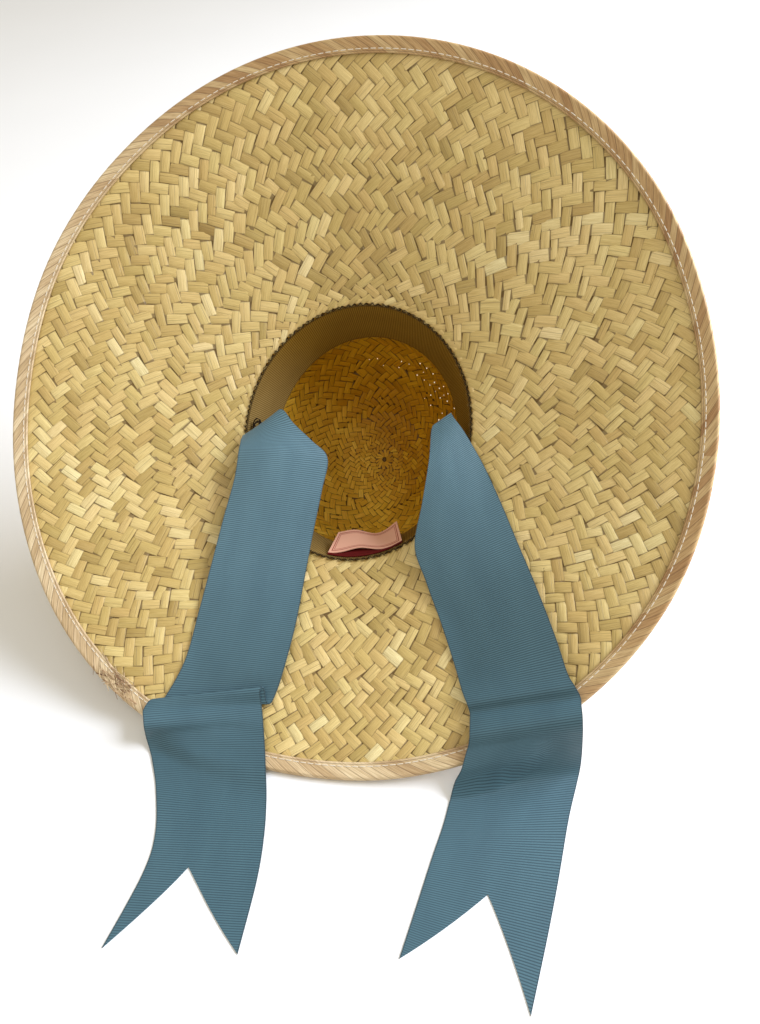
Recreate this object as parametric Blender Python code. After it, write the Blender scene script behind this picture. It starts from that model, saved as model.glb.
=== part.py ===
"""A wide-brimmed sun hat woven from palm leaf, with two wide ribbon ties.

The hat lies on its crown and leans on the lower edge of its brim, so that its mouth faces up and
forwards. The ties come out of the mouth, cross the brim, drop over its edge and end in
swallow-tails on the surface that the hat lies on. Units are metres, +Z is up, +X is to the
right and -Y is towards the viewer.

The hat's own frame has its origin in the middle of the mouth: +X is the wearer's side, +Y the
front of the hat and +Z points out of the mouth, so the crown is below the mouth plane.
"""

import math

import bmesh
import bpy
from mathutils import Euler, Matrix, Vector

MM = 0.001

# The search for the brim's height below a tie
HIGHEST = 400.0 * MM
HALVINGS = 24

# How the hat lies: its lean from level, its turn about the upright, and its mouth's middle.
LEAN = math.radians(38.4)
TURN = math.radians(-16.6)
MOUTH_X = 9.65 * MM
MOUTH_Y = 94.95 * MM
MOUTH_HEIGHT = 112.8 * MM

# Woven palm leaf
STRAW_THICKNESS = 1.6 * MM
MOUTH_HALF_WIDTH = 86.2 * MM
MOUTH_HALF_LENGTH = 97.6 * MM
CROWN_DEPTH = 117.0 * MM
PIECE_GAP = 0.35 * MM

# The crown's outline, from the mouth to the middle of the top: how deep, and how wide.
# columns: share of the depth, share of the mouth
CROWN_ROWS = (
    (0.00, 1.000),
    (0.15, 0.965),
    (0.30, 0.925),
    (0.50, 0.850),
    (0.68, 0.745),
    (0.82, 0.600),
    (0.92, 0.420),
    (0.98, 0.210),
    (1.00, 0.000),
)
CROWN_RINGS = 13
CROWN_SIDES = 48
CROWN_CROWDING = 1.15

# The brim's outline, a row for every sixteenth of the way round from the right-hand side.
# column: reach from the middle of the mouth in millimetres
RIM_ROWS = (
    250.4,
    252.7,
    260.5,
    267.0,
    270.2,
    270.8,
    268.3,
    265.0,
    257.6,
    253.9,
    252.4,
    249.8,
    246.4,
    247.5,
    250.8,
    251.7,
)
BRIM_FLARE = 52.4 * MM
FLARE_TO_SIDES = -7.9 * MM
FLARE_TO_FRONT = 8.6 * MM
BRIM_RINGS = 6
BRIM_SIDES = 80
FLOOR_BEND = 5.0 * MM
RIM_UNDERSIDE = 2.8 * MM

# The tape folded over the edge of the brim
BINDING_WIDTH = 11.0 * MM
BINDING_THICKNESS = 0.9 * MM
BINDING_CLEARANCE = 0.7 * MM
EDGE_ROOM = BINDING_THICKNESS + BINDING_CLEARANCE

# The ribbed band inside the mouth
BAND_WIDTH = 36.0 * MM
BAND_THICKNESS = 1.0 * MM
BAND_LEAN_IN = 12.5 * MM
BAND_TOP = 0.6 * MM
BAND_SIDES = 56
BAND_ROWS = 3

# The label at the back of the band
LABEL_WIDTH = 60.0 * MM
LABEL_HEIGHT = 24.0 * MM
LABEL_THICKNESS = 1.0 * MM
LABEL_ANGLE = math.radians(-76.5)
LABEL_LEAN = math.radians(42.0)
LABEL_WAVE = 1.6 * MM
LABEL_STAND_OFF = 0.7 * MM
LABEL_COLUMNS = 14
LABEL_ROWS = 4

# The ties
RIBBON_THICKNESS = 1.2 * MM
RIBBON_COLUMNS = 6
RIBBON_STEP = 11.0 * MM
RIBBON_CLEARANCE = 1.3 * MM
EDGE_ROUND = 8.0 * MM
NOTCH_DEPTH = 47.0 * MM
NOTCH_BLEND = 110.0 * MM

# Rungs of the left tie on the hat, from where it is sewn on the band to the brim's edge.
# columns: left edge across, along, height; right edge across, along, height; arch between
# them. Millimetres in the hat's frame, heights above the mouth plane or the brim.
LEFT_ON_HAT = (
    (-74.5, -17.0, -19.0, -75.0, 13.0, -19.0, 0.0),
    (-77.5, -16.5, -4.0, -68.0, 10.0, -1.0, 0.0),
    (-84.0, -14.5, 4.5, -57.5, 8.0, 7.5, 0.0),
    (-87.0, -17.5, 2.6, -46.0, -2.0, 8.0, 2.0),
    (-87.5, -22.0, 2.0, -31.0, -13.0, 5.0, 5.0),
    (-87.6, -28.0, 1.4, -18.0, -24.0, 1.0, 8.0),
    (-86.8, -48.0, 1.0, -18.5, -48.0, 0.5, 8.0),
    (-88.2, -80.0, 0.8, -20.0, -82.0, 0.8, 4.0),
    (-88.6, -112.0, 0.6, -19.0, -113.0, 0.6, 1.5),
    (-88.2, -150.0, 0.6, -16.5, -150.0, 0.6, 0.0),
    (-87.8, -186.0, 0.6, -16.6, -182.0, 0.6, 0.0),
    (-93.0, -205.5, 0.6, -18.5, -200.5, 0.6, 0.0),
    (-96.5, -209.5, 2.0, -20.5, -205.0, 2.0, 0.0),
    (-98.5, -208.0, 3.6, -23.0, -202.0, 3.6, 0.0),
    (-100.5, -206.5, 3.9, -26.5, -194.0, 4.0, 0.0),
    (-101.5, -206.6, 4.6, -28.0, -192.8, 4.8, 0.0),
    (-103.0, -208.5, 5.0, -29.0, -195.5, 5.0, 0.0),
    (-106.5, -214.5, 4.0, -29.5, -206.0, 3.6, 0.0),
)

# Rungs of the left tie from the brim's edge down to its end.
# columns: left edge x, y, z; right edge x, y, z, from the spot below the mouth's middle
LEFT_ON_FLOOR = (
    (-161.5, -170.0, 14.5, -74.8, -184.0, 13.0),
    (-160.6, -177.0, 10.0, -74.4, -193.0, 9.5),
    (-158.8, -186.0, 3.5, -74.2, -202.0, 6.0),
    (-154.5, -198.0, 0.6, -74.0, -215.0, 2.0),
    (-148.0, -220.0, 0.0, -74.2, -234.0, 0.0),
    (-144.5, -250.0, 0.0, -74.8, -258.0, 0.0),
    (-149.0, -276.0, 0.0, -78.2, -286.0, 0.0),
    (-166.8, -318.0, 0.0, -87.2, -327.0, 0.0),
)

# Rungs of the right tie on the hat, the same way.
RIGHT_ON_HAT = (
    (75.5, -17.0, -20.0, 76.0, 3.0, -20.0, 0.0),
    (68.0, -6.0, -8.0, 74.5, 9.0, -7.0, 0.0),
    (59.5, 8.5, 1.0, 69.8, 20.0, 1.0, 0.0),
    (57.5, 5.0, 3.0, 73.0, 16.0, 3.0, 0.0),
    (57.0, -16.5, 2.0, 82.0, 6.0, 3.5, 1.5),
    (56.2, -48.0, 1.4, 98.5, -16.0, 1.2, 3.0),
    (56.0, -80.0, 0.9, 115.5, -43.0, 0.8, 2.5),
    (69.5, -104.0, 0.6, 131.0, -69.5, 0.6, 1.0),
    (85.4, -130.3, 0.6, 147.5, -97.0, 0.6, 0.0),
    (101.5, -160.0, 0.6, 165.0, -128.5, 0.6, 0.0),
    (112.0, -181.0, 1.0, 179.0, -154.5, 1.4, 0.0),
    (117.4, -194.5, 1.4, 185.5, -167.0, 1.8, 0.0),
)

# Rungs of the right tie from the brim's edge down to its end.
RIGHT_ON_FLOOR = (
    (60.4, -213.8, 23.6, 130.9, -216.0, 40.0),
    (55.8, -225.2, 19.0, 130.7, -220.5, 27.0),
    (48.4, -234.5, 10.0, 130.0, -225.5, 12.0),
    (44.0, -244.0, 2.5, 126.5, -236.0, 2.0),
    (38.0, -259.5, 0.0, 116.5, -262.5, 0.0),
    (28.5, -281.0, 0.0, 103.5, -297.5, 0.0),
    (18.0, -306.0, 0.0, 90.5, -330.5, 0.0),
    (5.2, -336.0, 0.0, 74.0, -370.0, 0.0),
)


def clear_scene():
    """Remove every object that the scene starts with."""
    for old in list(bpy.data.objects):
        bpy.data.objects.remove(old, do_unlink=True)


def plain_material(name, colour, roughness):
    """A Principled material of one colour."""
    material = bpy.data.materials.new(name)
    material.use_nodes = True
    shader = material.node_tree.nodes["Principled BSDF"]
    shader.inputs["Base Color"].default_value = (*colour, 1.0)
    shader.inputs["Roughness"].default_value = roughness
    shader.inputs["Metallic"].default_value = 0.0
    return material


def hat_to_spot():
    """The matrix from the hat's own frame to the spot on the floor below its mouth."""
    turned = Euler((LEAN, 0.0, TURN), "XYZ").to_matrix().to_4x4()
    return Matrix.Translation((0.0, 0.0, MOUTH_HEIGHT)) @ turned


HAT_TO_SPOT = hat_to_spot()
SPOT_TO_HAT = HAT_TO_SPOT.inverted()
UP_IN_HAT = SPOT_TO_HAT.to_3x3() @ Vector((0.0, 0.0, 1.0))


def curve_value(before, start, end, after, share):
    """A smooth value between start and end, as a Catmull-Rom curve gives it."""
    linear = (end - before) * share
    square = (2.0 * before - 5.0 * start + 4.0 * end - after) * share**2
    cube = (3.0 * start - before - 3.0 * end + after) * share**3
    return 0.5 * (2.0 * start + linear + square + cube)


def mouth_radius(angle):
    """Distance from the mouth's middle to its edge, an ellipse."""
    across = math.cos(angle) / MOUTH_HALF_WIDTH
    along = math.sin(angle) / MOUTH_HALF_LENGTH
    return 1.0 / math.hypot(across, along)


def rim_radius(angle):
    """Distance from the mouth's middle to the outer edge of the binding."""
    count = len(RIM_ROWS)
    place = angle / math.tau % 1.0 * count
    row = int(place)
    near = [RIM_ROWS[(row + step) % count] for step in (-1, 0, 1, 2)]
    return curve_value(*near, place - row) * MM


def rim_height(angle):
    """How far the edge of the brim stands out past the mouth plane."""
    return BRIM_FLARE + FLARE_TO_SIDES * math.cos(2.0 * angle) + FLARE_TO_FRONT * math.sin(angle)


def hat_point(radius, angle, height):
    """A point of the hat's own frame from its distance, bearing and height."""
    return Vector((radius * math.cos(angle), radius * math.sin(angle), height))


def brim_height(radius, angle):
    """Height of the brim's upper face over the mouth plane."""
    inner = mouth_radius(angle)
    share = max(0.0, radius - inner) / (rim_radius(angle) - inner)
    return rim_height(angle) * share


def floor_rise(point):
    """How far a point of the brim is bent up because the floor is in its way."""
    low = (HAT_TO_SPOT @ point).z - RIM_UNDERSIDE
    if low >= FLOOR_BEND:
        return 0.0
    if low <= -FLOOR_BEND:
        return -low
    return (low + FLOOR_BEND) ** 2 / (4.0 * FLOOR_BEND) - low


def brim_face(radius, angle):
    """A point on the brim's upper face, bent up where the brim meets the floor."""
    flat = hat_point(radius, angle, brim_height(radius, angle))
    return flat + UP_IN_HAT * floor_rise(flat)


def edge_normal(angle):
    """The direction that the last strip of the brim looks in, where the binding sits."""
    turn = math.tau / BRIM_SIDES
    edge = rim_radius(angle)
    out = brim_face(edge, angle) - brim_face(edge - BINDING_WIDTH, angle)
    after = brim_face(rim_radius(angle + turn), angle + turn)
    before = brim_face(rim_radius(angle - turn), angle - turn)
    return out.cross(after - before).normalized()


def add_object(name, mesh, material, parent):
    """Put a mesh in the scene under its parent, with its material."""
    mesh.materials.append(material)
    mesh.shade_smooth()
    piece = bpy.data.objects.new(name, mesh)
    bpy.context.scene.collection.objects.link(piece)
    piece.parent = parent
    return piece


def thicken(piece, thickness, side, even=True):
    """Give a sheet its thickness: side +1 grows along its faces' normals, -1 against them.

    Even keeps the wall's thickness through a bend, and is off where a sheet is folded on itself.
    """
    wall = piece.modifiers.new("thickness", "SOLIDIFY")
    wall.thickness = thickness
    wall.offset = side
    wall.use_even_offset = even


def sheet_mesh(name, rows, ring=False, tip=None):
    """A sheet of quads through rows of points, closed sideways if ring, ending in one tip."""
    sheet = bmesh.new()
    made = [[sheet.verts.new(point) for point in row] for row in rows]
    for low, high in zip(made, made[1:]):
        count = len(low)
        for i in range(count if ring else count - 1):
            j = (i + 1) % count
            sheet.faces.new((low[i], low[j], high[j], high[i]))
    if tip is not None:
        last = made[-1]
        middle = sheet.verts.new(tip)
        for i, corner in enumerate(last):
            sheet.faces.new((corner, last[(i + 1) % len(last)], middle))
    mesh = bpy.data.meshes.new(name)
    sheet.to_mesh(mesh)
    sheet.free()
    return mesh


def bearings(count):
    """Evenly spaced bearings once round the hat."""
    return [math.tau * i / count for i in range(count)]


def crown_share(depth_share):
    """The crown's width at a share of its depth, as a share of the mouth."""
    rows = CROWN_ROWS
    last = len(rows) - 1
    row = 0
    while row < last - 1 and rows[row + 1][0] < depth_share:
        row += 1
    part = (depth_share - rows[row][0]) / (rows[row + 1][0] - rows[row][0])
    before = rows[row - 1][1] if row else 2.0 * rows[0][1] - rows[1][1]
    after = rows[row + 2][1] if row + 2 <= last else rows[last][1]
    if row + 2 > last:
        return rows[row][1] * math.sqrt(max(0.0, 1.0 - part))
    return curve_value(before, rows[row][1], rows[row + 1][1], after, part)


def build_crown(material, parent):
    """The hollow crown, a dome whose wall runs from the mouth to the middle of its top."""
    start = (STRAW_THICKNESS + PIECE_GAP) / CROWN_DEPTH
    clockwise = list(reversed(bearings(CROWN_SIDES)))
    rows = []
    for ring in range(CROWN_RINGS):
        way_in = math.sin(ring / CROWN_RINGS * math.pi / 2.0) ** CROWN_CROWDING
        depth_share = start + (1.0 - start) * way_in
        width = crown_share(depth_share)
        height = -CROWN_DEPTH * depth_share
        rows.append([hat_point(mouth_radius(a) * width, a, height) for a in clockwise])
    mesh = sheet_mesh("crown", rows, ring=True, tip=hat_point(0.0, 0.0, -CROWN_DEPTH))
    crown = add_object("crown", mesh, material, parent)
    thicken(crown, STRAW_THICKNESS, 1.0)
    return crown


def build_brim(material, parent):
    """The wide brim, a shallow flaring sheet from the mouth to inside the binding."""
    rows = []
    for ring in range(BRIM_RINGS + 1):
        row = []
        for angle in bearings(BRIM_SIDES):
            inner = mouth_radius(angle)
            outer = rim_radius(angle) - BINDING_WIDTH
            row.append(brim_face(inner + (outer - inner) * ring / BRIM_RINGS, angle))
        rows.append(row)
    rows.append([brim_face(rim_radius(a) - EDGE_ROOM, a) for a in bearings(BRIM_SIDES)])
    brim = add_object("brim", sheet_mesh("brim", list(reversed(rows)), ring=True), material, parent)
    thicken(brim, STRAW_THICKNESS, -1.0)
    return brim


def binding_section():
    """The folded tape's outline: distance in from the edge, and height over the brim's face."""
    above = BINDING_CLEARANCE
    top = above + BINDING_THICKNESS
    below = -STRAW_THICKNESS - BINDING_CLEARANCE
    bottom = below - BINDING_THICKNESS
    fold = BINDING_THICKNESS
    middle = (top + bottom) / 2.0
    return (
        (BINDING_WIDTH, above),
        (BINDING_WIDTH, top),
        (1.6 * fold, top),
        (0.35 * fold, middle + 0.3 * (top - bottom)),
        (0.0, middle),
        (0.35 * fold, middle - 0.3 * (top - bottom)),
        (1.6 * fold, bottom),
        (BINDING_WIDTH, bottom),
        (BINDING_WIDTH, below),
        (fold, below),
        (fold, above),
    )


def build_binding(material, parent):
    """The straw tape folded over the brim's edge, one closed ring."""
    section = binding_section()
    tape = bmesh.new()
    rings = []
    for angle in bearings(BRIM_SIDES):
        inner = brim_face(rim_radius(angle) - BINDING_WIDTH, angle)
        outer = brim_face(rim_radius(angle) - EDGE_ROOM, angle)
        upward = edge_normal(angle)
        ring = []
        for inward, height in section:
            out = (BINDING_WIDTH - inward) / (BINDING_WIDTH - EDGE_ROOM)
            ring.append(tape.verts.new(inner + (outer - inner) * out + upward * height))
        rings.append(ring)
    count = len(section)
    for near, far in zip(rings, rings[1:] + rings[:1]):
        for i in range(count):
            j = (i + 1) % count
            tape.faces.new((near[i], near[j], far[j], far[i]))
    bmesh.ops.recalc_face_normals(tape, faces=tape.faces)
    mesh = bpy.data.meshes.new("brim_edge_binding")
    tape.to_mesh(mesh)
    tape.free()
    return add_object("brim_edge_binding", mesh, material, parent)


def band_point(angle, share, stand_off=0.0):
    """A point on the band's outer face, at a share of its width down into the crown."""
    radius = mouth_radius(angle) - PIECE_GAP - BAND_LEAN_IN * share - stand_off
    return hat_point(radius, angle, BAND_TOP - BAND_WIDTH * share)


def build_sweatband(material, parent):
    """The ribbed band, sewn at the mouth and leaning in at its free edge."""
    rows = []
    for row in range(BAND_ROWS + 1):
        rows.append([band_point(angle, row / BAND_ROWS) for angle in bearings(BAND_SIDES)])
    mesh = sheet_mesh("sweatband", list(reversed(rows)), ring=True)
    band = add_object("sweatband", mesh, material, parent)
    thicken(band, BAND_THICKNESS, -1.0)
    return band


def build_label(material, parent):
    """The small label at the back, sewn at its ends and buckled between them."""
    stand = BAND_THICKNESS + LABEL_STAND_OFF
    rows = []
    for row in range(LABEL_ROWS + 1):
        inward = LABEL_HEIGHT * row / LABEL_ROWS
        points = []
        for column in range(LABEL_COLUMNS + 1):
            across = column / LABEL_COLUMNS - 0.5
            angle = LABEL_ANGLE + across * LABEL_WIDTH / mouth_radius(LABEL_ANGLE)
            wave = LABEL_WAVE * (1.0 + math.cos(4.0 * math.pi * across)) * row / LABEL_ROWS / 2.0
            base = band_point(angle, 0.06, stand)
            lean = inward * math.sin(LABEL_LEAN) + wave
            points.append(base + hat_point(-lean, angle, -inward * math.cos(LABEL_LEAN)))
        rows.append(points)
    label = add_object("back_label", sheet_mesh("back_label", rows), material, parent)
    thicken(label, LABEL_THICKNESS, 1.0)
    return label


def polar_in_hat(x, y, z):
    """Distance, bearing and height in the hat's frame of a place given from the spot."""
    point = SPOT_TO_HAT @ Vector((x, y, z))
    return math.hypot(point.x, point.y), math.atan2(point.y, point.x), point.z


def cover_height(x, y):
    """Height of what a tie lies on at a place: the brim, its binding, or the bend past the edge."""
    low = 0.0
    high = HIGHEST
    for _ in range(HALVINGS):
        middle = (low + high) / 2.0
        radius, angle, height = polar_in_hat(x, y, middle)
        if height > brim_face(radius, angle).z:
            high = middle
        else:
            low = middle
    radius, angle, height = polar_in_hat(x, y, high)
    past = radius - rim_radius(angle)
    if radius < mouth_radius(angle) or past >= EDGE_ROUND:
        return 0.0
    if past < -BINDING_WIDTH - BINDING_CLEARANCE:
        return high
    fall = EDGE_ROUND - math.sqrt(EDGE_ROUND**2 - max(0.0, past) ** 2)
    return high + BINDING_CLEARANCE + BINDING_THICKNESS - fall


def lay_clear(point):
    """Raise a point of a tie until it clears the brim, its binding and the floor."""
    cover = cover_height(point.x, point.y)
    lowest = cover + RIBBON_CLEARANCE if cover > 0.0 else 0.0
    return Vector((point.x, point.y, max(point.z, lowest)))


def rung_on_hat(row):
    """A rung of a tie from a row given in the hat's frame."""
    ends = []
    for across, along, height in (row[0:3], row[3:6]):
        radius = math.hypot(across, along) * MM
        angle = math.atan2(along, across)
        inside = radius < mouth_radius(angle)
        base = hat_point(radius, angle, 0.0) if inside else brim_face(radius, angle)
        ends.append(HAT_TO_SPOT @ (base + Vector((0.0, 0.0, height * MM))))
    return [*ends[0], *ends[1], row[6] * MM]


def rung_on_floor(row):
    """A rung of a tie from a row given from the spot on the floor."""
    return [value * MM for value in row] + [0.0]


def smooth_rungs(rungs):
    """Rungs at short steps on one smooth curve through the given ones."""
    made = [list(rungs[0])]
    padded = [rungs[0], *rungs, rungs[-1]]
    for before, start, end, after in zip(padded, padded[1:], padded[2:], padded[3:]):
        gap = max(math.dist(start[0:3], end[0:3]), math.dist(start[3:6], end[3:6]))
        steps = max(2, math.ceil(gap / RIBBON_STEP))
        for step in range(1, steps + 1):
            share = step / steps
            made.append([curve_value(*four, share) for four in zip(before, start, end, after)])
    return made


def rung_lengths(rungs):
    """Distance of each rung along the tie's middle, from the first."""
    lengths = [0.0]
    for start, end in zip(rungs, rungs[1:]):
        left = math.dist(start[0:3], end[0:3])
        right = math.dist(start[3:6], end[3:6])
        lengths.append(lengths[-1] + (left + right) / 2.0)
    return lengths


def rung_at(rungs, lengths, distance):
    """The rung at a distance along the tie."""
    row = 0
    while row < len(rungs) - 2 and lengths[row + 1] < distance:
        row += 1
    share = (distance - lengths[row]) / (lengths[row + 1] - lengths[row])
    return [a + (b - a) * share for a, b in zip(rungs[row], rungs[row + 1])]


def ribbon_point(rung, across):
    """A point of a tie at a share of the way across a rung."""
    left = Vector(rung[0:3])
    right = Vector(rung[3:6])
    arch = 4.0 * across * (1.0 - across) * rung[6]
    return left.lerp(right, across) + (HAT_TO_SPOT.to_3x3() @ Vector((0.0, 0.0, arch)))


def build_ribbon(name, hat_rows, floor_rows, material, parent):
    """A tie as a strip through its rungs, ending in a swallow-tail."""
    rungs = [rung_on_hat(row) for row in hat_rows] + [rung_on_floor(row) for row in floor_rows]
    rungs = smooth_rungs(rungs)
    lengths = rung_lengths(rungs)
    total = lengths[-1]
    blend_start = total - NOTCH_BLEND
    rows = []
    for distance in lengths:
        row = []
        for column in range(RIBBON_COLUMNS + 1):
            across = column / RIBBON_COLUMNS
            shortened = NOTCH_DEPTH * (1.0 - abs(2.0 * across - 1.0))
            place = distance
            if distance > blend_start:
                place = distance - shortened * (distance - blend_start) / NOTCH_BLEND
            point = ribbon_point(rung_at(rungs, lengths, place), across)
            row.append(lay_clear(point))
        rows.append(row)
    ribbon = add_object(name, sheet_mesh(name, rows), material, parent)
    thicken(ribbon, RIBBON_THICKNESS, -1.0, even=False)
    return ribbon


def main():
    clear_scene()
    straw = plain_material("palm_straw", (0.72, 0.56, 0.30), 0.6)
    tape = plain_material("straw_tape", (0.66, 0.47, 0.30), 0.65)
    taupe = plain_material("taupe_grosgrain", (0.16, 0.11, 0.07), 0.8)
    pink = plain_material("pink_label", (0.72, 0.38, 0.34), 0.7)
    teal = plain_material("teal_grosgrain", (0.07, 0.19, 0.26), 0.7)
    spot = bpy.data.objects.new("spot_below_mouth", None)
    spot.location = (MOUTH_X, MOUTH_Y, 0.0)
    hat = bpy.data.objects.new("hat_lean", None)
    hat.parent = spot
    hat.location = (0.0, 0.0, MOUTH_HEIGHT)
    hat.rotation_euler = (LEAN, 0.0, TURN)
    for empty in (spot, hat):
        bpy.context.scene.collection.objects.link(empty)
    build_crown(straw, hat)
    build_brim(straw, hat)
    build_binding(tape, hat)
    build_sweatband(taupe, hat)
    build_label(pink, hat)
    build_ribbon("ribbon_left", LEFT_ON_HAT, LEFT_ON_FLOOR, teal, spot)
    build_ribbon("ribbon_right", RIGHT_ON_HAT, RIGHT_ON_FLOOR, teal, spot)


main()
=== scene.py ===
# %% [markdown]
# # A woven palm-leaf sun hat with two ribbon ties
#
# This lesson dresses a finished construction model of a wide-brimmed straw hat. The hat lies on
# its crown, so we look into its mouth and at the underside of its brim. Two wide grosgrain ties
# come out of the mouth, cross the brim, drop over its edge and end in swallow-tails.
#
# The construction model gives each piece its place and its collision. Here every piece is made
# again as a maker would see it: thousands of flat palm strips, a plaited tape on the rim, ribbed
# ribbon, stitches and a small woven label.

# %% Load the construction model
import math

import bmesh
import bpy
import numpy as np
from mathutils import Euler, Matrix, Vector


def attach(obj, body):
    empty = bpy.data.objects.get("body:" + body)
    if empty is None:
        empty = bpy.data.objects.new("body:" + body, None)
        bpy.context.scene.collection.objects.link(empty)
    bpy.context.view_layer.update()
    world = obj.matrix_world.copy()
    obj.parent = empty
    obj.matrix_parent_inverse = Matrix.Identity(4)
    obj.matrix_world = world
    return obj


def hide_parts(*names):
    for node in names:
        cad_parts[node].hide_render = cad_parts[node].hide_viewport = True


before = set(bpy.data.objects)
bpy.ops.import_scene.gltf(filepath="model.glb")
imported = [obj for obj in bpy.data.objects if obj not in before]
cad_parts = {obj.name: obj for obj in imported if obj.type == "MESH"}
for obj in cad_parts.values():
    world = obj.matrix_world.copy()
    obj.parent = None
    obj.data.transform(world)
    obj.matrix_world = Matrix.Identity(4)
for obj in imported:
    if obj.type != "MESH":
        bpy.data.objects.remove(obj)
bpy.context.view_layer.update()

MM = 0.001
print("pieces of the construction model:", ", ".join(sorted(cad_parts)))

# %% [markdown]
# ## The hat's own frame
#
# A hat is easiest to describe upright: its mouth is an ellipse round the origin, the crown goes
# down from it and the brim goes out and slightly up. All shapes below are worked out in that
# frame, and one turn then lays the hat down the way it rests on the table. The sizes are those
# of the construction model, because the dressed hat has to fit round it.

# %% Sizes of the hat
LEAN = math.radians(38.4)
TURN = math.radians(-16.6)
MOUTH_PLACE = np.array((9.65, 94.95, 112.8)) * MM
MOUTH_HALF_WIDTH = 86.2 * MM
MOUTH_HALF_LENGTH = 97.6 * MM
CROWN_DEPTH = 117.0 * MM
STRAW_THICKNESS = 1.6 * MM
BRIM_FLARE = 52.4 * MM
FLARE_TO_SIDES = -7.9 * MM
FLARE_TO_FRONT = 8.6 * MM
FLOOR_BEND = 5.0 * MM
RIM_UNDERSIDE = 2.8 * MM

# columns: share of the depth, share of the mouth
CROWN_ROWS = np.array((
    (0.00, 1.000),
    (0.15, 0.965),
    (0.30, 0.925),
    (0.50, 0.850),
    (0.68, 0.745),
    (0.82, 0.600),
    (0.92, 0.420),
    (0.98, 0.210),
    (1.00, 0.000),
))

# The rim's distance from the mouth's middle in millimetres, at every sixteenth of the way round
RIM_ROWS = np.array((
    250.4, 252.7, 260.5, 267.0, 270.2, 270.8, 268.3, 265.0,
    257.6, 253.9, 252.4, 249.8, 246.4, 247.5, 250.8, 251.7,
))

HAT_TURN = np.array(Euler((LEAN, 0.0, TURN), "XYZ").to_matrix())
UP_IN_HAT = HAT_TURN.T @ np.array((0.0, 0.0, 1.0))
print("the hat leans", round(math.degrees(LEAN), 1), "degrees")

# %% [markdown]
# The next cell holds the small functions that everything else uses: from the hat's frame to the
# table's and back, smooth curves through rows of numbers, and distances round the mouth and rim.

# %% The frame's functions
def to_world(points):
    """Points of the hat's frame laid down on the table."""
    return points @ HAT_TURN.T + MOUTH_PLACE


def to_hat(points):
    """Points of the table's frame in the hat's frame."""
    return (points - MOUTH_PLACE) @ HAT_TURN


def curve_value(before, start, end, after, share):
    """A smooth value between start and end, as a Catmull-Rom curve gives it."""
    linear = (end - before) * share
    square = (2.0 * before - 5.0 * start + 4.0 * end - after) * share**2
    cube = (3.0 * start - before - 3.0 * end + after) * share**3
    return 0.5 * (2.0 * start + linear + square + cube)


def mouth_radius(angle):
    """The mouth's distance from its middle at a bearing."""
    across = np.cos(angle) / MOUTH_HALF_WIDTH
    along = np.sin(angle) / MOUTH_HALF_LENGTH
    return 1.0 / np.hypot(across, along)


def round_value(rows, angle):
    """A smooth value at a bearing, from rows of values at even steps all the way round."""
    count = len(rows)
    place = np.asarray(angle) / math.tau % 1.0 * count
    row = np.floor(place).astype(int)
    near = [rows[(row + step) % count] for step in (-1, 0, 1, 2)]
    return curve_value(*near, place - row)


def rim_radius(angle):
    return round_value(RIM_ROWS, angle) * MM


def rim_height(angle):
    """How far the rim stands past the mouth plane at a bearing."""
    return BRIM_FLARE + FLARE_TO_SIDES * np.cos(2.0 * angle) + FLARE_TO_FRONT * np.sin(angle)


def polar(radius, angle, height):
    """Points of the hat's frame from distance, bearing and height."""
    radius, angle, height = np.broadcast_arrays(radius, angle, height)
    return np.stack((radius * np.cos(angle), radius * np.sin(angle), height), axis=-1)


def unit(vectors):
    return vectors / np.linalg.norm(vectors, axis=-1, keepdims=True)


print("the rim stands", round(float(rim_height(math.pi / 2.0)) / MM, 1), "mm past the mouth in front")

# %% [markdown]
# ## One sheet of straw
#
# Crown and brim are woven in one, so one function gives the whole sheet from two numbers: the
# way, which is the distance in metres along the straw from the middle of the crown, and the
# bearing. The first part of the way follows the dome, the rest goes out over the brim. Where the
# brim meets the table it is bent up a little, as the weight of the hat bends it.

# %% The dome's outline
DOME_SAMPLES = 400


def dome_outline():
    """The dome's section from its middle to the mouth: depth share and width share."""
    depth = 1.0 - np.sin(np.linspace(0.0, math.pi / 2.0, DOME_SAMPLES)) ** 2
    rows = CROWN_ROWS
    last = len(rows) - 1
    row = np.clip(np.searchsorted(rows[:, 0], depth) - 1, 0, last - 1)
    part = (depth - rows[row, 0]) / (rows[row + 1, 0] - rows[row, 0])
    share = np.concatenate(((2.0 * rows[0, 1] - rows[1, 1],), rows[:, 1], (0.0,)))
    width = curve_value(share[row], share[row + 1], share[row + 2], share[row + 3], part)
    return depth, np.where(row == last - 1, rows[last - 1, 1] * np.sqrt(1.0 - part), width)


DOME_DEPTH, DOME_WIDTH = dome_outline()
MEAN_MOUTH = (MOUTH_HALF_WIDTH + MOUTH_HALF_LENGTH) / 2.0
MEAN_RIM = float(RIM_ROWS.mean()) * MM
dome_steps = np.hypot(np.diff(DOME_DEPTH) * CROWN_DEPTH, np.diff(DOME_WIDTH) * MEAN_MOUTH)
DOME_WAY = np.concatenate(((0.0,), np.cumsum(dome_steps)))
DOME_LENGTH = float(DOME_WAY[-1])
BRIM_LENGTH = math.hypot(MEAN_RIM - MEAN_MOUTH, BRIM_FLARE)
print("the dome is", round(DOME_LENGTH / MM), "mm long and the brim", round(BRIM_LENGTH / MM), "mm")

# %% The straw's surface
NORMAL_STEP = 0.5 * MM
TURN_STEP = 0.01


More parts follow.
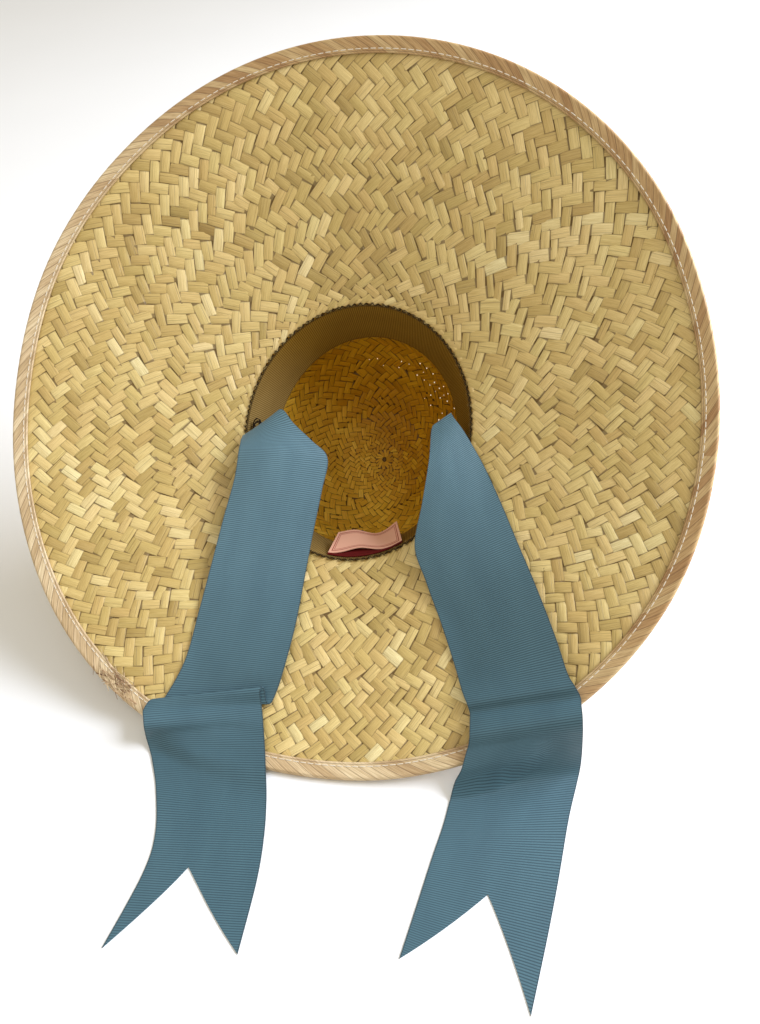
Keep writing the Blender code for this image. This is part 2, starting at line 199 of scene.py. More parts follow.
def brim_point(share, angle):
    """A point on the brim's upper face, at a share of the way from the mouth to the rim."""
    inner = mouth_radius(angle)
    radius = inner + (rim_radius(angle) - inner) * share
    flat = polar(radius, angle, rim_height(angle) * np.maximum(share, 0.0))
    low = to_world(flat)[..., 2] - RIM_UNDERSIDE
    soft = (low + FLOOR_BEND) ** 2 / (4.0 * FLOOR_BEND) - low
    rise = np.where(low >= FLOOR_BEND, 0.0, np.where(low <= -FLOOR_BEND, -low, soft))
    return flat + UP_IN_HAT * rise[..., None]


def straw_point(way, angle):
    """A point on the straw's inner face, from the way along it and the bearing."""
    way, angle = np.broadcast_arrays(np.asarray(way, float), np.asarray(angle, float))
    depth = np.interp(way, DOME_WAY, DOME_DEPTH)
    width = np.interp(way, DOME_WAY, DOME_WIDTH)
    crown = polar(mouth_radius(angle) * width, angle, -CROWN_DEPTH * depth)
    brim = brim_point((way - DOME_LENGTH) / BRIM_LENGTH, angle)
    return np.where((way < DOME_LENGTH)[..., None], crown, brim)


def straw_normal(way, angle):
    """The direction that the inner face of the straw looks in."""
    near = np.maximum(way - NORMAL_STEP, NORMAL_STEP)
    out = straw_point(near + 2.0 * NORMAL_STEP, angle) - straw_point(near, angle)
    about = straw_point(near, angle + TURN_STEP) - straw_point(near, angle - TURN_STEP)
    return unit(np.cross(out, about))


def middle_of_straw(way, angle, lift=0.0):
    """A point in the middle of the wall, or lifted from there towards its inner face."""
    return straw_point(way, angle) + straw_normal(way, angle) * (lift - STRAW_THICKNESS / 2.0)


print("a brim point faces", np.round(straw_normal(DOME_LENGTH + 0.05, 1.0), 2))

# %% [markdown]
# ## Helpers
#
# A few functions save a lot of typing. Every finished object stays at the origin, with its place
# in its mesh, so that a pattern on object coordinates stays where it is.

# %% Mesh helpers
def new_mesh_object(name, points, faces, material=None, smooth=True):
    """An object at the origin from points and faces."""
    mesh = bpy.data.meshes.new(name)
    mesh.from_pydata(np.asarray(points).reshape(-1, 3).tolist(), [], faces)
    mesh.update()
    if material is not None:
        mesh.materials.append(material)
    if smooth:
        mesh.shade_smooth()
    made = bpy.data.objects.new(name, mesh)
    bpy.context.scene.collection.objects.link(made)
    return made


def grid_faces(rows, columns, ring=False, closed=False):
    """Quads of a grid of rows x columns points, joined across its sides or its ends if asked."""
    faces = []
    for r in range(rows if closed else rows - 1):
        for c in range(columns if ring else columns - 1):
            near, far = r * columns, (r + 1) % rows * columns
            d = (c + 1) % columns
            faces.append([near + c, near + d, far + d, far + c])
    return faces


print("a ring of 4 x 8 points has", len(grid_faces(4, 8, ring=True)), "faces")


# %% Faces, attributes and the flat map
def face_outwards(piece):
    """Turn the faces of a closed mesh so that they all point out of it."""
    solid = bmesh.new()
    solid.from_mesh(piece.data)
    bmesh.ops.recalc_face_normals(solid, faces=solid.faces)
    solid.to_mesh(piece.data)
    solid.free()


def set_attribute(mesh, name, kind, values):
    """Store one value for each point of a mesh, under a name that node trees can read."""
    attribute = mesh.attributes.new(name, kind, "POINT")
    key = "vector" if kind == "FLOAT_VECTOR" else "value"
    attribute.data.foreach_set(key, np.asarray(values, dtype=np.float32).ravel())


def set_uv(mesh, values, around=None):
    """Give each corner of a mesh its place on the flat cloth, from a value for each point.

    Where the cloth closes into a ring, around is its length: the last faces then run on to it.
    """
    layer = mesh.uv_layers.new(name="UVMap")
    corners = np.empty(len(mesh.loops), dtype=np.int32)
    mesh.loops.foreach_get("vertex_index", corners)
    flat = np.asarray(values, dtype=np.float32).reshape(-1, 2)[corners]
    if around is not None:
        starts = np.empty(len(mesh.polygons), dtype=np.int32)
        mesh.polygons.foreach_get("loop_start", starts)
        highest = np.maximum.reduceat(flat[:, 1], starts)
        sizes = np.diff(np.append(starts, len(corners)))
        flat[:, 1] += around * (np.repeat(highest, sizes) - flat[:, 1] > around / 2.0)
    layer.data.foreach_set("uv", flat.ravel())


print("maps of the cloth are in metres: u across it, v along it")


# %% Finishing and declaring a piece
def apply_modifiers(piece):
    """Replace an object's mesh by what its modifiers make of it."""
    evaluated = piece.evaluated_get(bpy.context.evaluated_depsgraph_get())
    mesh = bpy.data.meshes.new_from_object(evaluated)
    piece.modifiers.clear()
    old = piece.data
    piece.data = mesh
    bpy.data.meshes.remove(old)
    mesh.name = piece.name


def press_on_table(piece):
    """Keep a piece from sinking into the table."""
    places = np.empty(3 * len(piece.data.vertices), dtype=np.float32)
    piece.data.vertices.foreach_get("co", places)
    places[2::3] = np.maximum(places[2::3], 0.0)
    piece.data.vertices.foreach_set("co", places)
    piece.data.update()


def declare(piece, node):
    """Make an object a piece of the hat that stands for a node of the construction model."""
    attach(piece, "root")
    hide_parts(node)
    triangles = sum(len(face.vertices) - 2 for face in piece.data.polygons)
    lowest = min(vertex.co.z for vertex in piece.data.vertices)
    print(piece.name, "has", triangles, "triangles and starts", round(lowest / MM, 2), "mm over the table")


print("a finished piece takes the place of a node of the construction model")

# %% [markdown]
# A node tree is quick to write with a few short calls. The same helper serves the trees that make
# shapes and the ones that make materials: it adds a node, gives each input a number or a link,
# and hands back the output that the next node needs.


# %% Node tree helper
class Tree:
    """A short way to write a node tree: add nodes, set their values and join their sockets."""

    def __init__(self, tree):
        self.tree = tree

    def add(self, kind, values=None, **settings):
        node = self.tree.nodes.new(kind)
        for key, value in settings.items():
            setattr(node, key, value)
        self.give(node, values or {})
        return node

    def give(self, node, values):
        """Give each named input of a node its value or its link."""
        for key, value in values.items():
            self.feed(node.inputs[key], value)

    def feed(self, socket, value):
        """Link a socket to another node's output, or give it a value."""
        if isinstance(value, bpy.types.NodeSocket):
            self.tree.links.new(value, socket)
        else:
            socket.default_value = value

    def place(self):
        """The object coordinates."""
        return self.add("ShaderNodeTexCoord").outputs["Object"]

    def uv(self):
        return self.add("ShaderNodeUVMap", uv_map="UVMap").outputs[0]

    def split(self, vector):
        """The x, y and z of a vector."""
        return list(self.add("ShaderNodeSeparateXYZ", {0: vector}).outputs)

    def join(self, *values):
        return self.add("ShaderNodeCombineXYZ", dict(enumerate(values))).outputs[0]

    def math(self, operation, *values):
        node = self.add("ShaderNodeMath", dict(enumerate(values)), operation=operation)
        return node.outputs[0]

    def vector_math(self, operation, *values):
        node = self.add("ShaderNodeVectorMath", dict(enumerate(values)), operation=operation)
        return node.outputs[0]

    def mix(self, share, first, second, blend="MIX"):
        values = {0: share, 6: first, 7: second}
        node = self.add("ShaderNodeMix", values, data_type="RGBA", blend_type=blend)
        return node.outputs[2]

    def noise(self, vector, scale, detail=2.0):
        values = {"Vector": vector, "Scale": scale, "Detail": detail}
        return self.add("ShaderNodeTexNoise", values).outputs["Fac"]

    def between(self, value, low, high, to_low=0.0, to_high=1.0):
        """A value that goes smoothly from to_low to to_high as another goes from low to high."""
        node = self.add("ShaderNodeMapRange", {0: value, 1: low, 2: high, 3: to_low, 4: to_high})
        node.interpolation_type = "SMOOTHSTEP"
        return node.outputs[0]

    def ramp(self, value, stops):
        node = self.add("ShaderNodeValToRGB", {0: value})
        while len(node.color_ramp.elements) < len(stops):
            node.color_ramp.elements.new(0.5)
        for element, (place, colour) in zip(node.color_ramp.elements, stops):
            element.position = place
            element.color = (*colour, 1.0)
        return node.outputs[0]

    def bump(self, height, strength, distance):
        """Normals that show a relief of a height in metres."""
        values = {"Height": height, "Strength": strength, "Distance": distance}
        return self.add("ShaderNodeBump", values).outputs[0]


print("node trees can be written")


# %% Empty groups and materials
def new_group(name, kind, inputs, outputs):
    """An empty node group with named sockets, its helper, and its input and output nodes."""
    group = bpy.data.node_groups.new(name, kind)
    for label, socket, value in inputs:
        made = group.interface.new_socket(label, in_out="INPUT", socket_type=socket)
        if value is not None:
            made.default_value = value
    for label, socket in outputs:
        group.interface.new_socket(label, in_out="OUTPUT", socket_type=socket)
    tree = Tree(group)
    return group, tree, tree.add("NodeGroupInput"), tree.add("NodeGroupOutput")


def new_material(name):
    """A node material with its tree helper and its Principled shader."""
    material = bpy.data.materials.new(name)
    material.use_nodes = True
    tree = Tree(material.node_tree)
    return material, tree, material.node_tree.nodes["Principled BSDF"]


FLOAT_SOCKET = "NodeSocketFloat"
print("the helpers are ready")

# %% [markdown]
# ## Palm leaf, the material
#
# A strip of dried palm leaf is pale gold, with fine fibres along it, a fold or split here and
# there, and a waxy shine. Strips differ: most are straw-coloured, some are olive, a few are
# brown. The weaving step below stores a number called tint on every strip, and the material
# turns it into a colour. The fibres follow the strip's own UV map: u runs along it, v across.
#
# The same effect is used for the brim, the inside of the crown and the loose ends, so it is a
# node group, built once, and each material sets its own numbers on it. A second, smaller group
# comes first: painted light and shade, a tone that changes slowly across the hat with the height
# and sideways, lighter where the light falls and darker in the shade.

# %% The node group for painted light and shade that change with the place
def make_painted_light_group():
    """A share for painted light and shade that grows with the height and, by the weight Sideways, to the
    right.
    """
    inputs = (("Sideways", FLOAT_SOCKET, 1.0), ("Low", FLOAT_SOCKET, 0.0), ("High", FLOAT_SOCKET, 0.1))
    outputs = (("Share", FLOAT_SOCKET),)
    group, tree, given, made = new_group("tone_by_place", "ShaderNodeTree", inputs, outputs)
    x, _, z = tree.split(tree.place())
    away = tree.math("MULTIPLY_ADD", x, given.outputs["Sideways"], z)
    tree.feed(made.inputs["Share"], tree.between(away, given.outputs["Low"], given.outputs["High"]))
    return group


PAINTED_LIGHT_GROUP = make_painted_light_group()


def add_painted_light(tree, colour, painted_light):
    """Multiply a colour by painted light and shade: one tone low on the left and another high on the
    right.
    """
    sideways, low, high, near, far = painted_light
    values = {"Sideways": sideways, "Low": low, "High": high}
    share = tree.add("ShaderNodeGroup", values, node_tree=PAINTED_LIGHT_GROUP)
    tone = tree.mix(share.outputs["Share"], (*near, 1.0), (*far, 1.0))
    return tree.mix(1.0, colour, tone, "MULTIPLY")


print("node group", PAINTED_LIGHT_GROUP.name)

# %% The palm leaf node group
FIBRES_ACROSS = 16.0
FIBRE_SCALE = 1.6
FIBRE_SHARE = 0.6
FINE_SCALE = 2.3
FINE_STRETCH = (1.0, 2.7, 1.0)
VISIBLE_END = 0.385
END_SOFT = 0.035
# a different patch of noise, a different split and a different hue for every tint
PATCH_STEP = 91.7
SPLIT_STEP = 3.1
HUE_STEP = 57.3
SPLIT_WOBBLE = 0.10
SPLIT_HALF = 0.035
SPLIT_SHADE = 0.45
SPLIT_DEPTH = 0.6


def make_leaf_group():
    """Fibres, shade and relief of a palm strip from its tint and its place on the strip."""
    inputs = (
        ("Tint", FLOAT_SOCKET, 0.5),
        ("Edge shade", FLOAT_SOCKET, 0.5),
        ("End shade", FLOAT_SOCKET, 0.6),
        ("Edge from", FLOAT_SOCKET, 0.45),
    )
    outputs = (("Fibre", FLOAT_SOCKET), ("Shade", FLOAT_SOCKET), ("Height", FLOAT_SOCKET))
    group, tree, given, made = new_group("palm_leaf", "ShaderNodeTree", inputs, outputs)
    u, v, _ = tree.split(tree.uv())
    seed = tree.math("MULTIPLY", given.outputs["Tint"], PATCH_STEP)
    place = tree.join(u, tree.math("MULTIPLY", v, FIBRES_ACROSS), seed)
    fibre = tree.math("MULTIPLY", tree.noise(place, FIBRE_SCALE, 3.0), FIBRE_SHARE)
    fine = tree.noise(tree.vector_math("MULTIPLY", place, FINE_STRETCH), FINE_SCALE)
    both = tree.math("MULTIPLY_ADD", fine, 1.0 - FIBRE_SHARE, fibre)
    # a strip is split along its length
    where = tree.math("FRACT", tree.math("MULTIPLY", seed, SPLIT_STEP))
    wobbling = tree.math("MULTIPLY_ADD", tree.noise(place, 0.7), SPLIT_WOBBLE, v)
    off = tree.math("ABSOLUTE", tree.math("SUBTRACT", wobbling, where))
    gap = tree.between(off, 0.0, SPLIT_HALF, 1.0, 0.0)
    # painted shade: the long edges and the tucked-in ends are darkened where they go under their
    # neighbours
    side = tree.math("ABSOLUTE", tree.math("SUBTRACT", v, 0.5))
    end = tree.math("ABSOLUTE", tree.math("SUBTRACT", u, 0.5))
    edge = tree.between(side, given.outputs["Edge from"], 0.5)
    edge = tree.math("MULTIPLY", edge, given.outputs["Edge shade"])
    tip = tree.between(end, VISIBLE_END - END_SOFT, VISIBLE_END + 0.01)
    tip = tree.math("MULTIPLY", tip, given.outputs["End shade"])
    shade = tree.math("MAXIMUM", edge, tip)
    shade = tree.math("MAXIMUM", shade, tree.math("MULTIPLY", gap, SPLIT_SHADE))
    height = tree.math("SUBTRACT", both, tree.math("MULTIPLY", gap, SPLIT_DEPTH))
    tree.give(made, {"Fibre": both, "Shade": shade, "Height": height})
    return group


LEAF_GROUP = make_leaf_group()
print("node group", LEAF_GROUP.name)


# %% The straw materials
GREENER = (0.98, 1.0, 0.92, 1.0)
REDDER = (1.015, 0.985, 0.95, 1.0)
BETWEEN_FIBRES = (0.72, 0.66, 0.52, 1.0)
STREAK_FROM, STREAK_TO = 0.32, 0.68
STRAW_ROUGH = 0.56
FIBRE_POLISH = 0.40
STRAW_RELIEF = 0.2 * MM
STRAW_RELIEF_STRENGTH = 0.85


def make_straw(
    name, stops, shade_colour, edge=0.70, end=0.75, edge_from=0.45, gloss=0.5, painted_light=None, glow=0.0
):
    """A straw material: tint picks a colour from the stops, fibres and shade vary it."""
    material, tree, shader = new_material(name)
    tint = tree.add("ShaderNodeAttribute", attribute_name="tint").outputs["Fac"]
    values = {"Tint": tint, "Edge shade": edge, "End shade": end, "Edge from": edge_from}
    leaf = tree.add("ShaderNodeGroup", values, node_tree=LEAF_GROUP).outputs
    colour = tree.ramp(tint, stops)
    # no two strips dried alike: some are greener, some redder
    share = tree.math("FRACT", tree.math("MULTIPLY", tint, HUE_STEP))
    colour = tree.mix(1.0, colour, tree.mix(share, GREENER, REDDER), "MULTIPLY")
    streak = tree.between(leaf["Fibre"], STREAK_FROM, STREAK_TO)
    colour = tree.mix(streak, tree.mix(1.0, colour, BETWEEN_FIBRES, "MULTIPLY"), colour)
    # painted light and shade that changes across the piece
    if painted_light is not None:
        colour = add_painted_light(tree, colour, painted_light)
    # painted shade at the strips' edges and tucked-in ends
    colour = tree.mix(leaf["Shade"], colour, (*shade_colour, 1.0))
    values = {
        "Base Color": colour,
        "Roughness": tree.math("MULTIPLY_ADD", leaf["Fibre"], -FIBRE_POLISH, STRAW_ROUGH),
        "Normal": tree.bump(leaf["Height"], STRAW_RELIEF_STRENGTH, STRAW_RELIEF),
        "Specular IOR Level": gloss,
    }
    if glow > 0.0:
        values |= {"Emission Color": colour, "Emission Strength": glow}
    tree.give(shader, values)
    return material


# Daylight comes through the thin wall of the crown, so its inside is warmer and glows a little
CROWN_GLOW = 0.02
STRAW_STOPS = (
    (0.00, (0.34, 0.205, 0.058)),
    (0.12, (0.40, 0.265, 0.082)),
    (0.28, (0.48, 0.340, 0.116)),
    (0.52, (0.65, 0.475, 0.182)),
    (0.80, (0.81, 0.635, 0.295)),
    (1.00, (0.90, 0.765, 0.44)),
)
CROWN_STOPS = (
    (0.00, (0.30, 0.140, 0.012)),
    (0.30, (0.50, 0.275, 0.028)),
    (0.60, (0.70, 0.430, 0.055)),
    (1.00, (0.95, 0.700, 0.160)),
)
# painted light and shade inside the crown, lighter on the lit left wall, darker high up and to the right;
# sideways weight, low and high place in metres, the tone low on the left, the tone high on the right
CROWN_PAINTED_LIGHT = (1.0, 0.015, 0.085, (1.24, 1.20, 0.95), (0.84, 0.66, 0.17))
STRAW = make_straw("palm_straw", STRAW_STOPS, (0.11, 0.060, 0.016))
INNER_STRAW = make_straw(
    "crown_straw",
    CROWN_STOPS,
    (0.035, 0.016, 0.003),
    edge=0.85,
    end=0.90,
    edge_from=0.405,
    gloss=0.15,
    painted_light=CROWN_PAINTED_LIGHT,
    glow=CROWN_GLOW,
)
print("materials", STRAW.name, INNER_STRAW.name)

# %% [markdown]
# ## How palm strips are woven
#
# The sheet is a two-over, two-under twill. Strips run slantwise both ways, and on each face we
# see short lengths of them, called floats: one ring of floats leans one way, the next ring leans
# the other way, so the rings make a herringbone. Each float's ends slip under the long sides of
# floats in the rings before and after it.
#
# A hat gets wider from the middle outwards, and the weaver adds strips to keep their width about
# the same. So each ring on the brim has a few more floats than the one before it. On the line
# between two rings, the ends of both rings' floats take turns, and where a strip was added, two
# ends of the outer ring come together.

# %% The rings of the weave
# columns: millimetres along the straw from the crown's middle, floats in the ring that starts there
CROWN_RINGS = (
    (2.0, 14), (8.6, 22), (13.6, 28), (18.2, 32), (22.8, 35), (27.8, 40), (33.2, 40), (39.0, 45),
    (45.5, 50), (52.5, 50), (59.5, 50), (67.0, 50), (75.0, 60), (83.0, 70), (91.0, 70), (99.0, 70),
    (107.3, 70), (115.8, 70), (124.0, 70), (132.3, 70), (140.5, 70), (148.6, 70), (156.7, 70),
)

# columns: millimetres along the straw from the mouth, floats in the ring that starts there
BRIM_RINGS = (
    (0.0, 70), (8.5, 70), (17.6, 70), (27.6, 70), (38.2, 70), (48.0, 105), (59.3, 105), (72.6, 105),
    (85.0, 105), (95.7, 140), (105.8, 140), (116.2, 140), (126.9, 140), (137.4, 140), (147.5, 140),
    (157.5, 140), (167.5, 140), (177.5, 140), (187.5, 140),
)

# How many millimetres further out than a circle the rings of the brim run, at every twelfth of
# the way round: first near the middle of the brim, then near its rim
INNER_DRIFT = np.array((5.5, 5.0, -5.5, -8.0, -7.5, -7.0, -4.0, -1.0, 0.0, 3.0, 8.0, 9.0))
OUTER_DRIFT = np.array((3.0, 3.0, -9.0, -12.5, -5.0, -4.0, -2.0, 1.5, 1.0, 0.0, 4.0, 7.0))
DRIFT_STARTS = 30.0 * MM
INNER_PLACE = 60.0 * MM
OUTER_PLACE = 150.0 * MM

CROWN_LINES = np.array([row[0] for row in CROWN_RINGS]) * MM
BRIM_LINES = np.array([row[0] for row in BRIM_RINGS]) * MM
RING_LINES = np.concatenate((CROWN_LINES, DOME_LENGTH + BRIM_LINES))
RING_COUNTS = [row[1] for row in CROWN_RINGS + BRIM_RINGS[:-1]]


def line_way(line, angle):
    """The way of a line between two rings at a bearing."""
    way = RING_LINES[line]
    past = way - DOME_LENGTH
    share = np.clip((past - INNER_PLACE) / (OUTER_PLACE - INNER_PLACE), 0.0, 1.0)
    drift = (1.0 - share) * round_value(INNER_DRIFT, angle) + share * round_value(OUTER_DRIFT, angle)
    return way + drift * MM * np.clip(past / DRIFT_STARTS, 0.0, 1.0)


print(len(CROWN_RINGS), "rings in the crown and", len(BRIM_RINGS) - 1, "in the brim")

# %% The floats' ends
ADDED_STRIP_ROOM = 0.8
ADDED_STRIP_JITTER = 0.2
SPREAD_PASSES = 14
END_JITTER = 0.07
TINT_KEPT = 0.94


def ends_on_line(inner, outer, rng):
    """Bearings on a line where inner tops and outer feet take turns, from an arbitrary start."""
    added = outer - inner
    first = rng.uniform(0.0, 1.0)
    spots = set()
    for k in range(added):
        off = rng.uniform(-ADDED_STRIP_JITTER, ADDED_STRIP_JITTER)
        spots.add(int((first + (k + off) / added) % 1.0 * inner))
    spare = [gap for gap in range(inner) if gap not in spots]
    while len(spots) < added:
        spots.add(spare.pop(int(rng.integers(len(spare)))))
    gaps, tops, feet = [], [], []
    for gap in range(inner):
        tops.append(len(gaps))
        gaps.append(1.0)
        feet.append(len(gaps))
        if gap in spots:
            gaps.append(ADDED_STRIP_ROOM)
            feet.append(len(gaps))
        gaps.append(1.0)
    gaps = np.array(gaps)
    for _ in range(SPREAD_PASSES):
        gaps = 0.5 * gaps + 0.25 * (np.roll(gaps, 1) + np.roll(gaps, -1))
    place = np.concatenate(((0.0,), np.cumsum(gaps)[:-1])) / gaps.sum() * math.tau
    place = place + rng.normal(0.0, END_JITTER, len(place)) * math.tau / len(place)
    return place[tops], place[feet]


def nearest(angles, wanted):
    """For each wanted bearing, the index of the nearest of the given ones."""
    apart = np.abs((wanted[:, None] - angles[None, :] + math.pi) % math.tau - math.pi)
    return apart.argmin(axis=1)


print("added strips are spread over", SPREAD_PASSES, "passes")

# %% [markdown]
# A strip shows again two rings further on, where it comes up once more. Each float therefore
# takes most of its tint from the float that it continues, and a dark strip can be followed by eye
# across the brim.


# %% The floats of both faces
def weave(counts, first_lean, seed):
    """Columns: ring, foot bearing, top bearing, room, tint. One row for each float."""
    rng = np.random.default_rng(seed)
    rows = []
    feet = np.arange(counts[0]) / counts[0] * math.tau
    older = []
    for ring, count in enumerate(counts):
        following = counts[ring + 1] if ring + 1 < len(counts) else count
        lean = first_lean * (1 if ring % 2 == 0 else -1) * math.tau / count
        tops, next_feet = ends_on_line(count, following, rng)
        off = tops - feet - lean
        shift = math.atan2(np.sin(off).mean(), np.cos(off).mean())
        tops = tops - shift
        tops = feet + lean + (tops - feet - lean + math.pi) % math.tau - math.pi
        middle = (tops + feet) / 2.0
        ahead = (np.roll(middle, -1) - middle) % math.tau
        room = (ahead + np.roll(ahead, 1)) / 2.0
        tint = rng.normal(0.0, 1.0, count)
        if ring >= 2:
            old_tops, old_tint = older[ring - 2]
            source = nearest(old_tops, feet - lean)
            tint = TINT_KEPT * old_tint[source] + math.sqrt(1.0 - TINT_KEPT**2) * tint
        older.append((tops, tint))
        rows.append(np.stack((np.full(count, ring), feet, tops, room, tint), axis=1))
        feet = next_feet - shift
    return np.concatenate(rows)


INSIDE_SEED = 11
OUTSIDE_SEED = 12
INSIDE_FLOATS = weave(RING_COUNTS, 1, INSIDE_SEED)
OUTSIDE_FLOATS = weave(RING_COUNTS, -1, OUTSIDE_SEED)
print(len(INSIDE_FLOATS), "floats on each face")

# %% [markdown]
# ## From numbers to strips
#
# Every float needs a place, a direction, a facing and a size. Those are stored as attributes on
# the points of a small mesh, one point for each float. A Geometry Nodes tree then puts one copy
# of a single strip on every point, turns it, scales it and bends it to the straw's surface. That
# keeps the shape of a strip in one place: change the strip, and the whole hat follows.
#
# Where three strips meet, one dives under the second and the second under the third, so each
# float is also twisted a little. Floats that lean the other way are twisted the other way.

# %% Settings of the floats
TUCKED_IN = 1.30
SNUG = 1.03
WIDTH_SPREAD = 0.04
PLAIN_TINT = 0.57
TINT_SPREAD = 0.13
TINT_JITTER = 0.07
# strips darker than this many spreads are drawn back by this share towards the rest
DARK_FROM = -0.9
DARK_EVENNESS = 0.5
CROWN_EVENNESS = 0.75
WEAVE_TWIST = 0.23 * MM
FULL_LENGTH = 14.0 * MM
THINNEST = 0.6
CROWN_ROOM = 0.9 * MM
BRIM_STARTS = 0.9 * MM
HIDDEN_BY_TAPE = 167.5 * MM
SHORTEST = 3.0 * MM
CROWN_LAST = len(CROWN_RINGS) - 1
print("floats end", HIDDEN_BY_TAPE / MM, "mm past the mouth, under the tape")


# %% Points that carry places, directions and sizes
def new_points(name, places, facing, along, size, bend, tint):
    """A mesh of points that carry what the laying tree reads, given in the hat's frame."""
    made = new_mesh_object(name, to_world(places), [], smooth=False)
    set_attribute(made.data, "facing", "FLOAT_VECTOR", facing @ HAT_TURN.T)
    set_attribute(made.data, "along", "FLOAT_VECTOR", unit(along) @ HAT_TURN.T)
    set_attribute(made.data, "size", "FLOAT_VECTOR", size)
    set_attribute(made.data, "bend", "FLOAT_VECTOR", bend)
    set_attribute(made.data, "tint", "FLOAT", np.clip(tint, 0.0, 1.0))
    return made


def float_ends(floats):
    """Ways and bearings of the floats' feet and tops, kept clear of the mouth and the rim."""
    ring = floats[:, 0].astype(int)
    foot, top = floats[:, 1], floats[:, 2]
    low, high = line_way(ring, foot), line_way(ring + 1, top)
    high = np.where(ring == CROWN_LAST, DOME_LENGTH - CROWN_ROOM, high)
    low = np.where(ring == CROWN_LAST + 1, DOME_LENGTH + BRIM_STARTS, low)
    limit = DOME_LENGTH + HIDDEN_BY_TAPE
    kept = np.minimum(1.0, (limit - low) / (high - low))
    return low, foot, low + (high - low) * kept, foot + (top - foot) * kept


print("the tint is a number from 0, brown, to 1, pale")

# %% [markdown]
# A flat strip on a round hat would stand off at its ends. So three numbers are measured for each
# float: how far the straw bends away along the strip, across it, and from corner to corner.


# %% How a float bends with the straw
def surface_bend(way, angle, along, facing, length, width):
    """How far the straw leaves a float's plane at its ends, at its sides and at its corners."""
    out = straw_point(way + NORMAL_STEP, angle) - straw_point(way - NORMAL_STEP, angle)
    out = out / (2.0 * NORMAL_STEP)
    about = straw_point(way, angle + TURN_STEP) - straw_point(way, angle - TURN_STEP)
    about = about / (2.0 * TURN_STEP)
    across = np.cross(facing, along)
    first = np.where(way < DOME_LENGTH, NORMAL_STEP, DOME_LENGTH)
    final = np.where(way < DOME_LENGTH, DOME_LENGTH - 0.1 * MM, DOME_LENGTH + BRIM_LENGTH)

    def rise(x, y):
        step = along * (x * length / 2.0)[:, None] + across * (y * width / 2.0)[:, None]
        ahead = (step * out).sum(axis=1) / (out * out).sum(axis=1)
        turned = (step * about).sum(axis=1) / (about * about).sum(axis=1)
        there = middle_of_straw(np.clip(way + ahead, first, final), angle + turned)
        return ((there - middle_of_straw(way, angle)) * facing).sum(axis=1)

    one = np.full(len(way), 1.0 / TUCKED_IN)
    ends = (rise(one, 0.0 * one) + rise(-one, 0.0 * one)) / 2.0 / one**2
    sides = (rise(0.0 * one, one) + rise(0.0 * one, -one)) / 2.0 / one**2
    corners = (rise(one, one) + rise(-one, -one) - rise(one, -one) - rise(-one, one)) / 4.0 / one**2
    return np.stack((ends, sides, corners), axis=1)


print("strips reach", round(TUCKED_IN, 2), "times as far as they show")


# %% A point for each float
def float_points(name, floats, side, seed):
    """A point for each float: side 1 is the inner face of the straw, -1 the outer."""
    rng = np.random.default_rng(seed)
    low, foot, high, top = float_ends(floats)
    kept = high - low > SHORTEST
    floats, low, foot, high, top = floats[kept], low[kept], foot[kept], high[kept], top[kept]
    count, room = len(floats), floats[:, 3]
    way, angle = (low + high) / 2.0, (foot + top) / 2.0
    along = middle_of_straw(high, top) - middle_of_straw(low, foot)
    length = np.linalg.norm(along, axis=1)
    along = unit(along)
    pitch = straw_point(way, angle + room / 2.0) - straw_point(way, angle - room / 2.0)
    facing = straw_normal(way, angle) * side
    width = np.abs((pitch * np.cross(facing, along)).sum(axis=1))
    width = width * SNUG * (1.0 + rng.normal(0.0, WIDTH_SPREAD, count))
    thin = np.clip(length / FULL_LENGTH, THINNEST, 1.0)
    bend = surface_bend(way, angle, along, facing, length * TUCKED_IN, width)
    bend[:, 2] -= WEAVE_TWIST * thin * side * np.sign(top - foot)
    strip = floats[:, 4]
    tint = PLAIN_TINT + TINT_SPREAD * strip + rng.normal(0.0, TINT_JITTER, count)
    tint = tint + DARK_EVENNESS * TINT_SPREAD * np.maximum(0.0, DARK_FROM - strip)
    tint = np.where(way < DOME_LENGTH, PLAIN_TINT + CROWN_EVENNESS * (tint - PLAIN_TINT), tint)
    size = np.stack((length * TUCKED_IN, width, thin), axis=1)
    return new_points(name, middle_of_straw(way, angle), facing, along, size, bend, tint)


print("floats shorter than", SHORTEST / MM, "mm are left out")

# %% [markdown]
# The strip itself is a flat grid with a closed underside. Its middle stands proud, because it
# passes over two strips, and its ends dive, because they go under the next two. It is also a
# little domed across, as a folded leaf is.

# %% One strip
STRIP_TOP = 0.86 * MM
STRIP_DIVE = 0.50 * MM
DIVE_FROM, DIVE_TO = 0.50, 0.86
STRIP_DOME = 0.14 * MM
STRIP_EDGE = 0.13 * MM
STRIP_CREASE = math.radians(50.0)
STRIP_ROWS = (-1.0, -0.85, -0.74, -0.6, 0.0, 0.6, 0.74, 0.85, 1.0)
STRIP_COLUMNS = (-1.0, -0.93, 0.0, 0.93, 1.0)


def strip_height(x, y):
    """Height of the strip's face, both measured from -1 to 1."""
    share = min(1.0, max(0.0, (abs(x) - DIVE_FROM) / (DIVE_TO - DIVE_FROM)))
    dive = STRIP_DIVE * share * share * (3.0 - 2.0 * share)
    edge = STRIP_EDGE if abs(y) == 1.0 else 0.0
    return STRIP_TOP - dive - STRIP_DOME * y * y - edge


